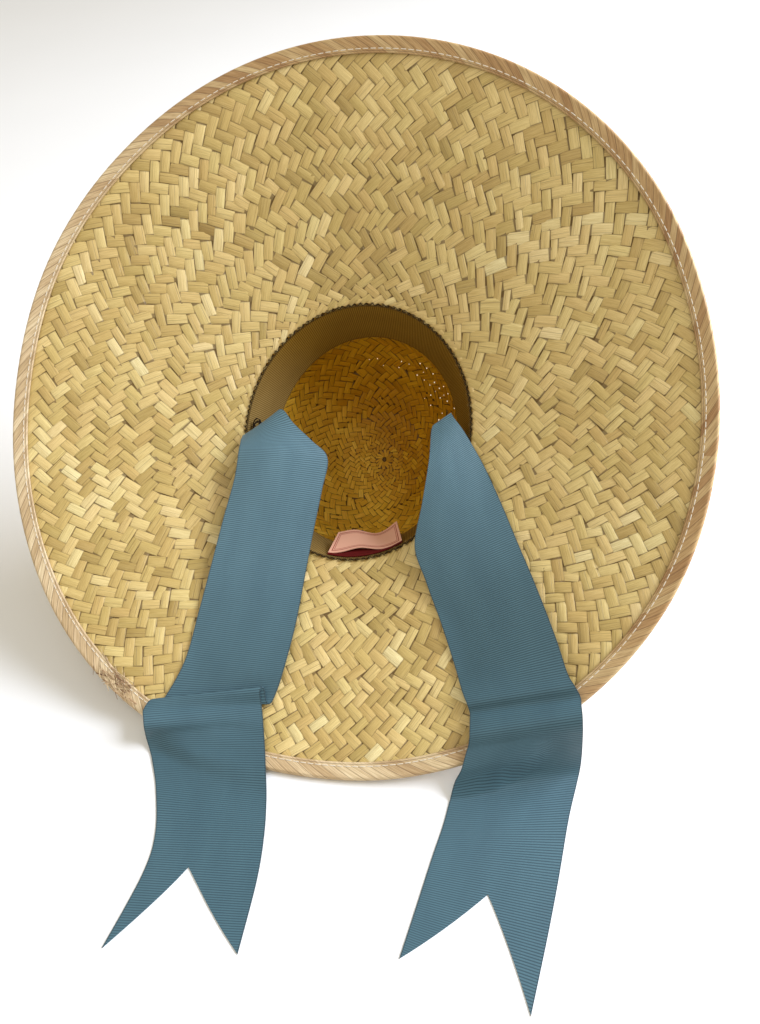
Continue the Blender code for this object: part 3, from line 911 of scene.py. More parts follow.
def make_strip():
    """A strip one metre long and wide but of real height, its face domed and its ends diving."""
    points = [(x / 2.0, y / 2.0, strip_height(x, y)) for x in STRIP_ROWS for y in STRIP_COLUMNS]
    rows, columns = len(STRIP_ROWS), len(STRIP_COLUMNS)
    faces = grid_faces(rows, columns)
    for r in range(rows - 1):
        near, far = r * columns, (r + 1) * columns
        faces.append([near, far, far + columns - 1, near + columns - 1])
    for start in (0, (rows - 1) * columns):
        faces.append(list(range(start, start + columns)))
    made = new_mesh_object("strip", points, faces)
    set_uv(made.data, [(x + 0.5, y + 0.5) for x, y, _ in points])
    face_outwards(made)
    made.data.set_sharp_from_angle(angle=STRIP_CREASE)
    return made


STRIP = make_strip()
print("one strip has", len(STRIP.data.polygons), "faces")

# %% [markdown]
# The laying tree puts the strip on every point. It turns the strip so that its face looks along
# the stored facing and its length runs along the stored direction, tilts it by a little chance,
# and then pushes its points out or in by the bend. It ends in real geometry, not in instances,
# so that the hat can be exported.


# %% The tree that lays a strip on every point
def make_laying_tree():
    """The tree that puts, turns, tilts and bends one shape on every point."""
    inputs = (
        ("Geometry", "NodeSocketGeometry", None),
        ("Strip", "NodeSocketObject", None),
        ("Finish", "NodeSocketMaterial", None),
        ("Roll", FLOAT_SOCKET, 0.0),
        ("Pitch", FLOAT_SOCKET, 0.0),
        ("Seed", "NodeSocketInt", 0),
    )
    outputs = (("Geometry", "NodeSocketGeometry"),)
    group, tree, given, made = new_group("lay_strips", "GeometryNodeTree", inputs, outputs)

    def stored(name):
        node = tree.add("GeometryNodeInputNamedAttribute", {"Name": name}, data_type="FLOAT_VECTOR")
        return node.outputs["Attribute"]

    def chance(limit, seed):
        node = tree.add("FunctionNodeRandomValue", data_type="FLOAT")
        tree.feed(node.inputs[2], tree.math("MULTIPLY", limit, -1.0))
        tree.feed(node.inputs[3], limit)
        tree.feed(node.inputs["Seed"], seed)
        return node.outputs[1]

    seed = given.outputs["Seed"]
    facing = tree.add("FunctionNodeAlignRotationToVector", {"Vector": stored("facing")}, axis="Z")
    turned = tree.add(
        "FunctionNodeAlignRotationToVector",
        {"Rotation": facing.outputs[0], "Vector": stored("along")},
        axis="X",
        pivot_axis="Z",
    )
    roll = chance(given.outputs["Roll"], seed)
    pitch = chance(given.outputs["Pitch"], tree.math("ADD", seed, 1.0))
    tilt = tree.add("FunctionNodeEulerToRotation", {0: tree.join(roll, pitch)}).outputs[0]
    tilted = tree.add(
        "FunctionNodeRotateRotation",
        {"Rotation": turned.outputs[0], "Rotate By": tilt},
        rotation_space="LOCAL",
    )
    strip = tree.add("GeometryNodeObjectInfo", {"Object": given.outputs["Strip"]})
    laid = tree.add(
        "GeometryNodeInstanceOnPoints",
        {
            "Points": given.outputs["Geometry"],
            "Instance": strip.outputs["Geometry"],
            "Rotation": tilted.outputs[0],
            "Scale": stored("size"),
        },
    )
    real = tree.add("GeometryNodeRealizeInstances", {0: laid.outputs[0]})
    u, v, _ = tree.split(stored("UVMap"))
    x = tree.math("MULTIPLY_ADD", u, 2.0, -1.0)
    y = tree.math("MULTIPLY_ADD", v, 2.0, -1.0)
    ends, sides, corners = tree.split(stored("bend"))
    rise = tree.math("MULTIPLY", tree.math("MULTIPLY", x, x), ends)
    rise = tree.math("MULTIPLY_ADD", tree.math("MULTIPLY", y, y), sides, rise)
    rise = tree.math("MULTIPLY_ADD", tree.math("MULTIPLY", x, y), corners, rise)
    push = tree.add("ShaderNodeVectorMath", {0: stored("facing"), 3: rise}, operation="SCALE")
    bent = tree.add("GeometryNodeSetPosition", {0: real.outputs[0], "Offset": push.outputs[0]})
    values = {"Geometry": bent.outputs[0], "Material": given.outputs["Finish"]}
    finished = tree.add("GeometryNodeSetMaterial", values)
    tree.feed(made.inputs[0], finished.outputs[0])
    return group


LAYING_TREE = make_laying_tree()
print("the laying tree has", len(LAYING_TREE.nodes), "nodes")


# %% Running the laying tree
def lay(points, shape, finish, roll=0.0, pitch=0.0, seed=0):
    """Run the laying tree on a mesh of points and keep the result as a plain mesh."""
    modifier = points.modifiers.new("lay", "NODES")
    modifier.node_group = LAYING_TREE
    given = {"Strip": shape, "Finish": finish, "Roll": roll, "Pitch": pitch, "Seed": seed}
    for item in LAYING_TREE.interface.items_tree:
        if item.item_type == "SOCKET" and item.in_out == "INPUT" and item.name in given:
            modifier[item.identifier] = given[item.name]
    apply_modifiers(points)
    for name in ("facing", "along", "size", "bend"):
        points.data.attributes.remove(points.data.attributes[name])
    return points


print("inputs:", ", ".join(item.name for item in LAYING_TREE.interface.items_tree))

# %% Weave the crown and the brim
LAYING_SEED = 5
POINTS_SEED = 20
ROLL = math.radians(3.2)
PITCH = math.radians(1.3)
for node, first, last in (("crown", 0, CROWN_LAST), ("brim", CROWN_LAST + 1, len(RING_COUNTS))):
    for face, floats, side in (("inside", INSIDE_FLOATS, 1), ("outside", OUTSIDE_FLOATS, -1)):
        chosen = floats[(floats[:, 0] >= first) & (floats[:, 0] <= last)]
        points = float_points(f"{node}_weave_{face}", chosen, side, seed=POINTS_SEED + side)
        finish = INNER_STRAW if points.name == "crown_weave_inside" else STRAW
        lay(points, STRIP, finish, ROLL, PITCH, LAYING_SEED)
        press_on_table(points)
        declare(points, node)

# %% [markdown]
# ## What shows between the strips
#
# Where strips meet, we look down to the strips below them, which lie in deep shade. Modelling
# every hidden length would cost a lot and show nothing, so a thin dark sheet in the middle of
# the wall stands for them.

# %% The hidden layer
CORE_HALF = 0.08 * MM
MOUTH_STRIPS_HALF = 0.5 * MM
CORE_WAYS = 64
CORE_SIDES = 160
CORE_START = 1.0 * MM
CORE_END = DOME_LENGTH + HIDDEN_BY_TAPE
DEEP_SHADE = (0.10, 0.055, 0.015, 1.0)
SHADE_TINT = (0.22, 0.135, 0.045, 1.0)
SHADE_PATCHES = 240.0


def make_core(name, first, last, closed_middle, material, half=CORE_HALF, count=CORE_WAYS):
    """A thin closed sheet in the middle of the straw between two ways."""
    angles = np.arange(CORE_SIDES) / CORE_SIDES * math.tau
    ways = np.linspace(first, last, count)
    upper = middle_of_straw(ways[:, None], angles[None, :], half)
    lower = middle_of_straw(ways[:, None], angles[None, :], -half)
    rows = np.concatenate((upper, lower[::-1]))
    faces = grid_faces(len(rows), CORE_SIDES, ring=True, closed=not closed_middle)
    points = to_world(rows).reshape(-1, 3).tolist()
    if closed_middle:
        for start in (0, (len(rows) - 1) * CORE_SIDES):
            points.append(np.mean(points[start:start + CORE_SIDES], axis=0).tolist())
            around = list(range(start, start + CORE_SIDES))
            faces += [[a, b, len(points) - 1] for a, b in zip(around, around[1:] + around[:1])]
    core = new_mesh_object(name, points, faces, material)
    set_attribute(core.data, "tint", "FLOAT", np.full(len(points), PLAIN_TINT))
    set_uv(core.data, np.full((len(points), 2), 0.5))
    face_outwards(core)
    return core


def make_shade_material():
    """Straw in deep shade, a little uneven."""
    material, tree, shader = new_material("hidden_straw")
    patch = tree.noise(tree.place(), SHADE_PATCHES, 3.0)
    tree.give(shader, {"Base Color": tree.mix(patch, DEEP_SHADE, SHADE_TINT), "Roughness": 0.9})
    return material


SHADE = make_shade_material()
declare(make_core("crown_core", CORE_START, DOME_LENGTH, True, SHADE), "crown")
declare(make_core("brim_core", DOME_LENGTH, CORE_END, False, SHADE), "brim")

# round the mouth whole strips lie below the first ring of floats
MOUTH_STRIPS_END = DOME_LENGTH + 4.5 * MM
MOUTH_STRIPS_WAYS = 4
mouth_strips = make_core(
    "mouth_strips", DOME_LENGTH, MOUTH_STRIPS_END, False, STRAW, MOUTH_STRIPS_HALF, MOUTH_STRIPS_WAYS
)
declare(mouth_strips, "brim")

# %% [markdown]
# ## The tape on the rim
#
# A braid of narrow straw is folded over the edge of the brim and stitched down through both
# sides. The cells of the braid run slantwise. The tape is one swept strip whose section goes
# over the edge, so it is a grid: one direction runs round the hat, the other across the fold.

# %% The folded tape
BINDING_WIDTH = 11.0 * MM
BINDING_THICKNESS = 0.9 * MM
BINDING_CLEARANCE = 0.7 * MM
EDGE_ROOM = BINDING_THICKNESS + BINDING_CLEARANCE
EDGE_TURN = math.tau / 80
BINDING_STEPS = 1500
TAPE_FACE_STEPS = 10
TAPE_FOLD_STEPS = 8
TAPE_CELLS = 190
CELL_SLANT = 1.6
HEM_WIDTH = 2.6 * MM
MIDDLE_ROW = 12.5 * MM
CELL_RELIEF = 0.22 * MM
FOLD_OF_TAPE = 1.6 * BINDING_THICKNESS


def edge_frame(angle):
    """Inner line, outer line and facing of the strip of brim that the tape covers."""
    rim = rim_radius(angle)
    mouth = mouth_radius(angle)
    inner = brim_point((rim - BINDING_WIDTH - mouth) / (rim - mouth), angle)
    outer = brim_point((rim - EDGE_ROOM - mouth) / (rim - mouth), angle)
    about = brim_point(1.0, angle + EDGE_TURN) - brim_point(1.0, angle - EDGE_TURN)
    return inner, outer, unit(np.cross(brim_point(1.0, angle) - inner, about))


def on_tape(angle, inward, height):
    """A point at a distance in from the rim's edge, at a height over the brim's face."""
    inner, outer, facing = edge_frame(angle)
    out = (BINDING_WIDTH - inward) / (BINDING_WIDTH - EDGE_ROOM)
    return inner + (outer - inner) * np.asarray(out)[..., None] + facing * np.asarray(height)[..., None]


print("the tape covers", round(BINDING_WIDTH / MM), "mm of the brim")


# %% The tape's section
def tape_section():
    """The folded tape's outline: distance in from the edge, and height over the brim's face."""
    top = BINDING_CLEARANCE + BINDING_THICKNESS
    bottom = -STRAW_THICKNESS - top
    middle, half = (top + bottom) / 2.0, (top - bottom) / 2.0
    fold = FOLD_OF_TAPE
    rows = []
    for k in range(TAPE_FACE_STEPS + 1):
        share = k / TAPE_FACE_STEPS
        rows.append((BINDING_WIDTH + (fold - BINDING_WIDTH) * share, top))
    for k in range(1, TAPE_FOLD_STEPS):
        turn = math.pi * k / TAPE_FOLD_STEPS
        rows.append((fold * (1.0 - math.sin(turn)), middle + half * math.cos(turn)))
    for k in range(TAPE_FACE_STEPS + 1):
        share = 1.0 - k / TAPE_FACE_STEPS
        rows.append((BINDING_WIDTH + (fold - BINDING_WIDTH) * share, bottom))
    rows.append((BINDING_WIDTH, -STRAW_THICKNESS - BINDING_CLEARANCE))
    rows.append((2.0 * fold, -STRAW_THICKNESS - BINDING_CLEARANCE))
    rows.append((2.0 * fold, BINDING_CLEARANCE))
    rows.append((BINDING_WIDTH, BINDING_CLEARANCE))
    return np.array(rows)


print("the section has", len(tape_section()), "points")


# %% The swept tape
def cell_phase(across, around, length):
    """Which cell of the braid a place lies in: the two rows of cells slant against each other."""
    off = np.abs(across - MIDDLE_ROW) * CELL_SLANT
    return (around + off) / length * TAPE_CELLS


def make_binding():
    """The tape as one closed ring of quads, and its length."""
    section = tape_section()
    angle = np.arange(BINDING_STEPS) / BINDING_STEPS * math.tau
    angles = np.repeat(angle[:, None], len(section), axis=1)
    flat = on_tape(angle, BINDING_WIDTH * np.ones(BINDING_STEPS), np.zeros(BINDING_STEPS))
    around = np.cumsum(np.linalg.norm(np.diff(flat, axis=0, prepend=flat[-1:]), axis=1))
    length = float(around[-1])
    steps = np.linalg.norm(np.diff(section, axis=0, prepend=section[:1]), axis=1)
    across = np.cumsum(steps)
    faces_out = np.arange(len(section)) < len(section) - 4
    share = cell_phase(across[None, :], around[:, None], length) % 1.0
    lift = np.where(faces_out[None, :] & (across > HEM_WIDTH)[None, :], CELL_RELIEF * (share - 1.0), 0.0)
    way_out = np.where(section[:, 1] > -STRAW_THICKNESS / 2.0, 1.0, -1.0)
    height = section[None, :, 1] + lift * way_out[None, :]
    inward = np.broadcast_to(section[None, :, 0], height.shape)
    points = on_tape(angles, inward, height)
    faces = grid_faces(BINDING_STEPS, len(section), ring=True, closed=True)
    tape = new_mesh_object("binding_tape", to_world(points), faces, TAPE)
    face_outwards(tape)
    set_uv(tape.data, np.stack(np.broadcast_arrays(across[None, :], around[:, None]), axis=-1), length)
    return tape, length


print("the braid has", TAPE_CELLS, "cells in each row")

# %% [markdown]
# The braid's cells differ in colour as the strips do. Their colour, the painted shade line where one
# slips under the next and their slope are worked out from the tape's UV map, which is in metres.

# %% The braid's material
BROWN_STOPS = ((0.0, (0.39, 0.215, 0.080)), (0.35, (0.50, 0.315, 0.130)), (1.0, (0.60, 0.430, 0.205)))
PALE_STOPS = ((0.0, (0.57, 0.41, 0.22)), (0.35, (0.68, 0.51, 0.30)), (1.0, (0.80, 0.65, 0.41)))
BETWEEN_TAPE_FIBRES = (0.72, 0.66, 0.58, 1.0)
GROOVE_SHADE_COLOUR = (0.13, 0.065, 0.025, 1.0)
TAPE_FIBRES = (1.0, 40.0, 160.0)
BROWNER_FROM, BROWNER_TO = -0.16, 0.16
BROWNER_AWAY = 0.6
# added to the cell numbers of the second row, so that its colours differ from the first
OTHER_ROW = 517.0
GROOVE_SHARE = 0.13
GROOVE_SHADE = 0.85
HEM_LINE = 1.4 * MM
LINE_HALF = 0.3 * MM
ROW_GAP = 0.25 * MM
ROW_GAP_SHADE = 0.7
TAPE_RELIEF = 0.2 * MM


def make_tape_material():
    """Slanting cells of narrow straw, paler on one side of the hat and browner on the other."""
    material, tree, shader = new_material("straw_tape")
    across, around, _ = tree.split(tree.uv())
    off = tree.math("ABSOLUTE", tree.math("SUBTRACT", across, MIDDLE_ROW))
    along = tree.math("MULTIPLY_ADD", off, CELL_SLANT, around)
    phase = tree.math("MULTIPLY", along, TAPE_CELLS / TAPE_LENGTH)
    share = tree.math("FRACT", phase)
    row = tree.math("GREATER_THAN", across, MIDDLE_ROW)
    number = tree.math("MULTIPLY_ADD", row, OTHER_ROW, tree.math("FLOOR", phase))
    chance = tree.add("ShaderNodeTexWhiteNoise", {"W": number}, noise_dimensions="1D").outputs["Value"]
    place = tree.join(tree.math("MULTIPLY", share, 9.0), chance, across)
    fibre = tree.noise(tree.vector_math("MULTIPLY", place, TAPE_FIBRES), 1.0, 3.0)
    # the tape turns slowly from pale on one side of the hat to brown on the other
    x, y, _ = tree.split(tree.place())
    browner = tree.between(tree.math("MULTIPLY_ADD", y, BROWNER_AWAY, x), BROWNER_FROM, BROWNER_TO)
    colour = tree.mix(browner, tree.ramp(chance, PALE_STOPS), tree.ramp(chance, BROWN_STOPS))
    dim = tree.mix(1.0, colour, BETWEEN_TAPE_FIBRES, "MULTIPLY")
    colour = tree.mix(tree.between(fibre, 0.35, 0.65), dim, colour)
    # painted shade in the grooves: where cells slip under each other (not on the plain hem), along the hem
    # line and between the two rows
    cells = tree.between(across, HEM_WIDTH - LINE_HALF, HEM_WIDTH + LINE_HALF)
    groove = tree.math("MULTIPLY", tree.between(share, 0.0, GROOVE_SHARE, 1.0, 0.0), cells)
    hem_line = tree.math("ABSOLUTE", tree.math("SUBTRACT", across, HEM_LINE))
    groove = tree.math("MAXIMUM", groove, tree.between(hem_line, 0.0, LINE_HALF, 1.0, 0.0))
    groove = tree.math("MAXIMUM", groove, tree.between(off, 0.0, ROW_GAP, ROW_GAP_SHADE, 0.0))
    colour = tree.mix(tree.math("MULTIPLY", groove, GROOVE_SHADE), colour, GROOVE_SHADE_COLOUR)
    height = tree.math("SUBTRACT", tree.math("MULTIPLY", fibre, 0.5), groove)
    values = {
        "Base Color": colour,
        "Roughness": tree.between(fibre, 0.3, 0.7, 0.65, 0.42),
        "Normal": tree.bump(height, 0.5, TAPE_RELIEF),
    }
    tree.give(shader, values)
    return material


rim_line = on_tape(np.linspace(0.0, math.tau, BINDING_STEPS + 1), BINDING_WIDTH, 0.0)
TAPE_LENGTH = float(np.linalg.norm(np.diff(rim_line, axis=0), axis=1).sum())
TAPE = make_tape_material()
binding_tape, tape_length = make_binding()
declare(binding_tape, "brim_edge_binding")
print("the tape is", round(tape_length / MM), "mm long")

# %% [markdown]
# ## Thread
#
# Stitches are short round bars. The tree that laid the palm strips lays them too: it only needs
# other points and another shape. Cream thread holds the tape on both faces of the brim.

# %% One bar of thread
BAR_SIDES = 6
# columns: place along the bar, share of its full thickness
BAR_SECTIONS = ((-0.5, 0.35), (-0.44, 0.8), (-0.25, 1.0), (0.25, 1.0), (0.44, 0.8), (0.5, 0.35))
THREAD_TWIST = (40.0, 14.0, 0.0)
THREAD_DARK = 0.6


def make_bar():
    """A rounded bar one metre long, wide and high, closed at its ends."""
    points = []
    for x, share in BAR_SECTIONS:
        for k in range(BAR_SIDES):
            turn = math.tau * k / BAR_SIDES
            points.append((x, 0.5 * share * math.cos(turn), 0.5 * share * math.sin(turn)))
    faces = grid_faces(len(BAR_SECTIONS), BAR_SIDES, ring=True)
    faces.append(list(range(BAR_SIDES)))
    faces.append(list(range(len(points) - BAR_SIDES, len(points))))
    made = new_mesh_object("bar", points, faces)
    set_uv(made.data, [(x + 0.5, y + 0.5) for x, y, _ in points])
    face_outwards(made)
    return made


def make_thread_material(name, colour):
    """Twisted cotton thread."""
    material, tree, shader = new_material(name)
    twist = tree.math("SINE", tree.vector_math("DOT_PRODUCT", tree.uv(), THREAD_TWIST))
    dark = tuple(THREAD_DARK * value for value in colour)
    twisted = tree.mix(tree.between(twist, -1.0, 1.0), (*dark, 1.0), (*colour, 1.0))
    tree.give(shader, {"Base Color": twisted, "Roughness": 0.75, "Specular IOR Level": 0.2})
    return material


def lay_bars(name, places, facing, along, sizes, finish, tint=0.5):
    """Bars at places of the hat's frame, with a length, width and height each."""
    count = len(places)
    sizes = np.broadcast_to(np.asarray(sizes, float), (count, 3))
    tints = np.broadcast_to(np.asarray(tint, float), (count,))
    points = new_points(name, places, facing, along, sizes, np.zeros((count, 3)), tints)
    return lay(points, BAR, finish)


BAR = make_bar()
CREAM_THREAD = make_thread_material("cream_thread", (0.80, 0.72, 0.58))
DARK_THREAD = make_thread_material("dark_thread", (0.022, 0.012, 0.005))
print("one bar has", len(BAR.data.polygons), "faces")

# %% Stitches of the tape
STITCH_PITCH = 5.2 * MM
STITCH_SIZE = np.array((4.1, 0.62, 0.5)) * MM
STITCH_INWARD = BINDING_WIDTH - 2.8 * MM


def stitch_rows():
    """Places, facings and directions of the stitches on the upper and the lower face."""
    count = round(tape_length / STITCH_PITCH)
    angle = np.arange(count) / count * math.tau
    _, _, facing = edge_frame(angle)
    rows = []
    top = BINDING_CLEARANCE + BINDING_THICKNESS
    for height, side in ((top, 1.0), (-STRAW_THICKNESS - top, -1.0)):
        places = on_tape(angle, STITCH_INWARD * np.ones(count), height * np.ones(count))
        along = np.roll(places, -1, axis=0) - np.roll(places, 1, axis=0)
        rows.append((places, facing * side, along))
    return [np.concatenate(part) for part in zip(*rows)]


stitches = lay_bars("binding_stitches", *stitch_rows(), STITCH_SIZE, CREAM_THREAD)
declare(stitches, "brim_edge_binding")

# %% [markdown]
# ## Frayed straw
#
# At the lower left of the rim the tape has worn, and splinters of straw stand loose there.

# %% Loose splinters
FRAY_COUNT = 64
FRAY_SEED = 31
FRAY_MIDDLE = math.radians(-122.0)
FRAY_SPREAD = math.radians(2.3)
FRAY_REACH = 2.2
FRAY_SLANT = 0.45
FRAY_STAND = 0.10
# in millimetres
FRAY_INWARD = (0.5, 12.0)
FRAY_LIFT = (0.0, 0.7)
SPLINTER_LENGTHS = (4.0, 15.0)
SPLINTER_WIDTHS = (0.25, 1.0)
SPLINTER_HEIGHTS = (0.12, 0.25)
SPLINTER_STOPS = ((0.0, (0.20, 0.09, 0.045)), (0.4, (0.50, 0.33, 0.20)), (1.0, (0.74, 0.58, 0.38)))
SPLINTER = make_straw("splinters", SPLINTER_STOPS, (0.16, 0.08, 0.03), edge=0.2, end=0.2)


def make_frays():
    """Short flat bars that lie along the worn edge, each turned and raised by chance."""
    rng = np.random.default_rng(FRAY_SEED)
    spread = rng.normal(0.0, 1.0, FRAY_COUNT).clip(-FRAY_REACH, FRAY_REACH)
    angle = FRAY_MIDDLE + FRAY_SPREAD * spread
    inward = rng.uniform(*FRAY_INWARD, FRAY_COUNT) * MM
    top = BINDING_CLEARANCE + BINDING_THICKNESS
    lift = top + rng.uniform(*FRAY_LIFT, FRAY_COUNT) * MM
    places = on_tape(angle, inward, lift)
    _, _, facing = edge_frame(angle)
    about = unit(on_tape(angle + TURN_STEP, inward, lift) - places)
    outwards = np.cross(about, facing)
    slant = rng.normal(0.0, FRAY_SLANT, FRAY_COUNT)[:, None]
    stand = facing * rng.normal(0.0, FRAY_STAND, (FRAY_COUNT, 1))
    along = unit(about * np.cos(slant) + outwards * np.sin(slant) + stand)
    facing = unit(facing - along * (facing * along).sum(axis=1, keepdims=True))
    spans = (SPLINTER_LENGTHS, SPLINTER_WIDTHS, SPLINTER_HEIGHTS)
    sizes = np.stack([rng.uniform(*span, FRAY_COUNT) for span in spans], axis=1) * MM
    tint = rng.uniform(0.0, 1.0, FRAY_COUNT)
    return lay_bars("loose_splinters", places, facing, along, sizes, SPLINTER, tint)


declare(make_frays(), "brim_edge_binding")

# %% [markdown]
# ## Ribbed ribbon
#
# Grosgrain is woven with a thick weft, so it has fine ribs from edge to edge. They are finer than
# a rib made of geometry could sensibly be, so the material makes them: a wave along the cloth's UV
# map, which is in metres, paints shade into the grooves and tilts the light.

# %% The grosgrain material
TIE_WIDTH = 73.0 * MM
BAND_WIDTH = 36.0 * MM
SELVEDGE_SHADE = 0.7
SELVEDGE_FROM, SELVEDGE_TO = 0.3 * MM, 0.9 * MM
GROOVE_DARK = 0.35
WEAR_STRETCH = (1.0, 0.35, 1.0)
WEAR_PATCHES = 60.0
WARP_RELIEF = 0.25
RIB_RELIEF = 0.1 * MM
SHEEN_ROUGHNESS = 0.4


def make_grosgrain(name, light, dark, warp, sheen, width, rib_pitch, depth, gloss, painted_light):
    """Ribbed cloth whose UV is in metres: u across, v along. Its edges are darker."""
    material, tree, shader = new_material(name)
    uv = tree.uv()
    u, v, _ = tree.split(uv)
    wave = tree.math("SINE", tree.math("MULTIPLY", v, math.tau / rib_pitch))
    rib = tree.between(wave, -1.0, 0.4)
    thread = tree.math("SINE", tree.math("MULTIPLY", u, math.tau / warp))
    patch = tree.noise(tree.vector_math("MULTIPLY", uv, WEAR_STRETCH), WEAR_PATCHES, 3.0)
    deep = (*(value * GROOVE_DARK for value in dark), 1.0)
    colour = tree.mix(patch, (*dark, 1.0), (*light, 1.0))
    # painted shade in the grooves between the ribs
    colour = tree.mix(tree.between(rib, 0.0, 1.0, depth, 0.0), colour, deep)
    from_edge = tree.math("MINIMUM", u, tree.math("SUBTRACT", width, u))
    selvedge = tree.between(from_edge, SELVEDGE_FROM, SELVEDGE_TO, SELVEDGE_SHADE, 0.0)
    colour = tree.mix(selvedge, colour, deep)
    height = tree.math("MULTIPLY_ADD", thread, WARP_RELIEF, rib)
    # painted light and shade that changes across the cloth
    values = {
        "Base Color": add_painted_light(tree, colour, painted_light),
        "Roughness": tree.between(rib, 0.0, 1.0, 0.8, 0.5),
        "Normal": tree.bump(height, 0.5, RIB_RELIEF),
        "Specular IOR Level": gloss,
        "Sheen Weight": sheen,
        "Sheen Roughness": SHEEN_ROUGHNESS,
    }
    tree.give(shader, values)
    return material


# painted light and shade: the ties are a little darker and greener where they lie low, lighter high up
TEAL_PAINTED_LIGHT = (-0.20, 0.0, 0.13, (0.68, 0.79, 0.80), (1.50, 1.42, 1.42))
# painted shade: the band is darker high up and to the right, away from the light
BAND_PAINTED_LIGHT = (1.0, 0.030, 0.130, (0.98, 0.90, 0.72), (0.72, 0.53, 0.13))
TEAL = make_grosgrain(
    name="teal_grosgrain",
    light=(0.088, 0.178, 0.218),
    dark=(0.055, 0.122, 0.158),
    warp=0.5 * MM,
    sheen=0.15,
    width=TIE_WIDTH,
    rib_pitch=1.5 * MM,
    depth=0.7,
    gloss=0.5,
    painted_light=TEAL_PAINTED_LIGHT,
)
TAUPE = make_grosgrain(
    name="taupe_grosgrain",
    light=(0.36, 0.255, 0.100),
    dark=(0.25, 0.168, 0.058),
    warp=0.5 * MM,
    sheen=0.0,
    width=BAND_WIDTH,
    rib_pitch=1.6 * MM,
    depth=0.7,
    gloss=0.15,
    painted_light=BAND_PAINTED_LIGHT,
)
print("materials", TEAL.name, TAUPE.name)

# %% [markdown]
# ## The ties
#
# Each tie is given by rungs: short lines from its left edge to its right edge, first where it is
# sewn on the band, then over the brim, then on the table. A smooth curve through the rungs gives
# the whole strip. A tie may never sink into the brim, its tape or the table, so every point is
# lifted to whatever lies below it. A cloth simulation could drape them too, but rungs are the
# surer way to lay each fold where the real ribbon has it.

# %% Rungs of the ties
# columns: left edge across, along, height; right edge across, along, height; arch between them.
# Millimetres in the hat's frame, heights above the mouth plane or the brim.
LEFT_ON_HAT = (
    (-74.5, -17.0, -19.0, -75.0, 3.0, -19.0, 0.0),
    (-77.5, -16.5, -4.0, -68.0, 0.5, -1.0, 0.0),
    (-84.0, -14.5, 4.5, -57.5, 8.0, 7.5, 0.0),
    (-84.4, -18.6, 9.5, -46.0, -2.0, 8.0, 2.0),
    (-83.2, -23.5, 13.5, -31.0, -13.0, 4.0, 4.0),
    (-82.6, -29.8, 15.5, -18.0, -24.0, 1.0, 5.0),
    (-81.8, -49.8, 15.0, -18.5, -48.0, 0.5, 5.0),
    (-84.4, -81.5, 11.5, -20.0, -82.0, 0.8, 3.0),
    (-86.2, -113.0, 7.0, -19.0, -113.0, 1.0, 1.0),
    (-87.6, -150.4, 2.2, -16.0, -150.0, 3.5, 0.0),
    (-87.8, -186.0, 0.6, -16.0, -182.0, 4.5, 0.0),
    (-94.0, -212.0, 0.6, -18.5, -200.5, 0.6, 0.0),
    (-97.3, -215.5, 1.2, -20.5, -205.0, 2.0, 0.0),
    (-99.0, -214.5, 2.0, -23.0, -202.0, 3.6, 0.0),
    (-99.9, -214.2, 4.6, -25.0, -195.0, 7.4, 0.0),
    (-100.8, -214.2, 5.6, -26.6, -193.8, 8.6, 0.0),
    (-102.6, -215.6, 5.8, -27.4, -196.5, 8.2, 0.0),
)

# columns: left edge x, y, z; right edge x, y, z, in millimetres from the spot below the mouth's middle
LEFT_ON_FLOOR = (
    (-159.1, -170.0, 18.4, -77.7, -170.4, 17.6),
    (-158.0, -176.2, 19.0, -77.5, -173.3, 15.8),
    (-157.5, -181.4, 16.0, -77.0, -178.9, 13.4),
    (-158.0, -183.5, 5.5, -76.4, -186.9, 11.0),
    (-155.8, -190.2, 0.8, -75.6, -197.4, 8.0),
    (-152.5, -200.8, 0.3, -74.9, -210.7, 5.0),
    (-148.0, -220.0, 0.0, -74.2, -234.0, 0.0),
    (-144.5, -250.0, 0.0, -74.8, -258.0, 0.0),
    (-149.0, -276.0, 0.0, -78.2, -286.0, 0.0),
    (-166.8, -318.0, 0.0, -87.2, -327.0, 0.0),
)

RIGHT_ON_HAT = (
    (75.5, -17.0, -20.0, 76.0, 3.0, -20.0, 0.0),
    (68.0, -6.0, -8.0, 74.5, 9.0, -7.0, 0.0),
    (59.5, 8.5, 1.0, 69.8, 20.0, 1.0, 0.0),
    (57.5, 5.0, 3.0, 73.0, 16.0, 3.0, 0.0),
    (60.0, -17.5, 10.5, 82.0, 6.0, 2.0, 1.5),
    (60.0, -49.3, 12.5, 98.5, -16.0, 0.8, 3.0),
    (59.2, -81.2, 10.0, 115.5, -43.0, 0.8, 2.5),
    (71.2, -104.8, 5.0, 131.0, -69.5, 2.5, 1.0),
    (85.4, -130.3, 0.6, 147.0, -97.0, 5.0, 0.0),
    (101.5, -160.0, 0.6, 164.0, -128.5, 7.0, 0.0),
)

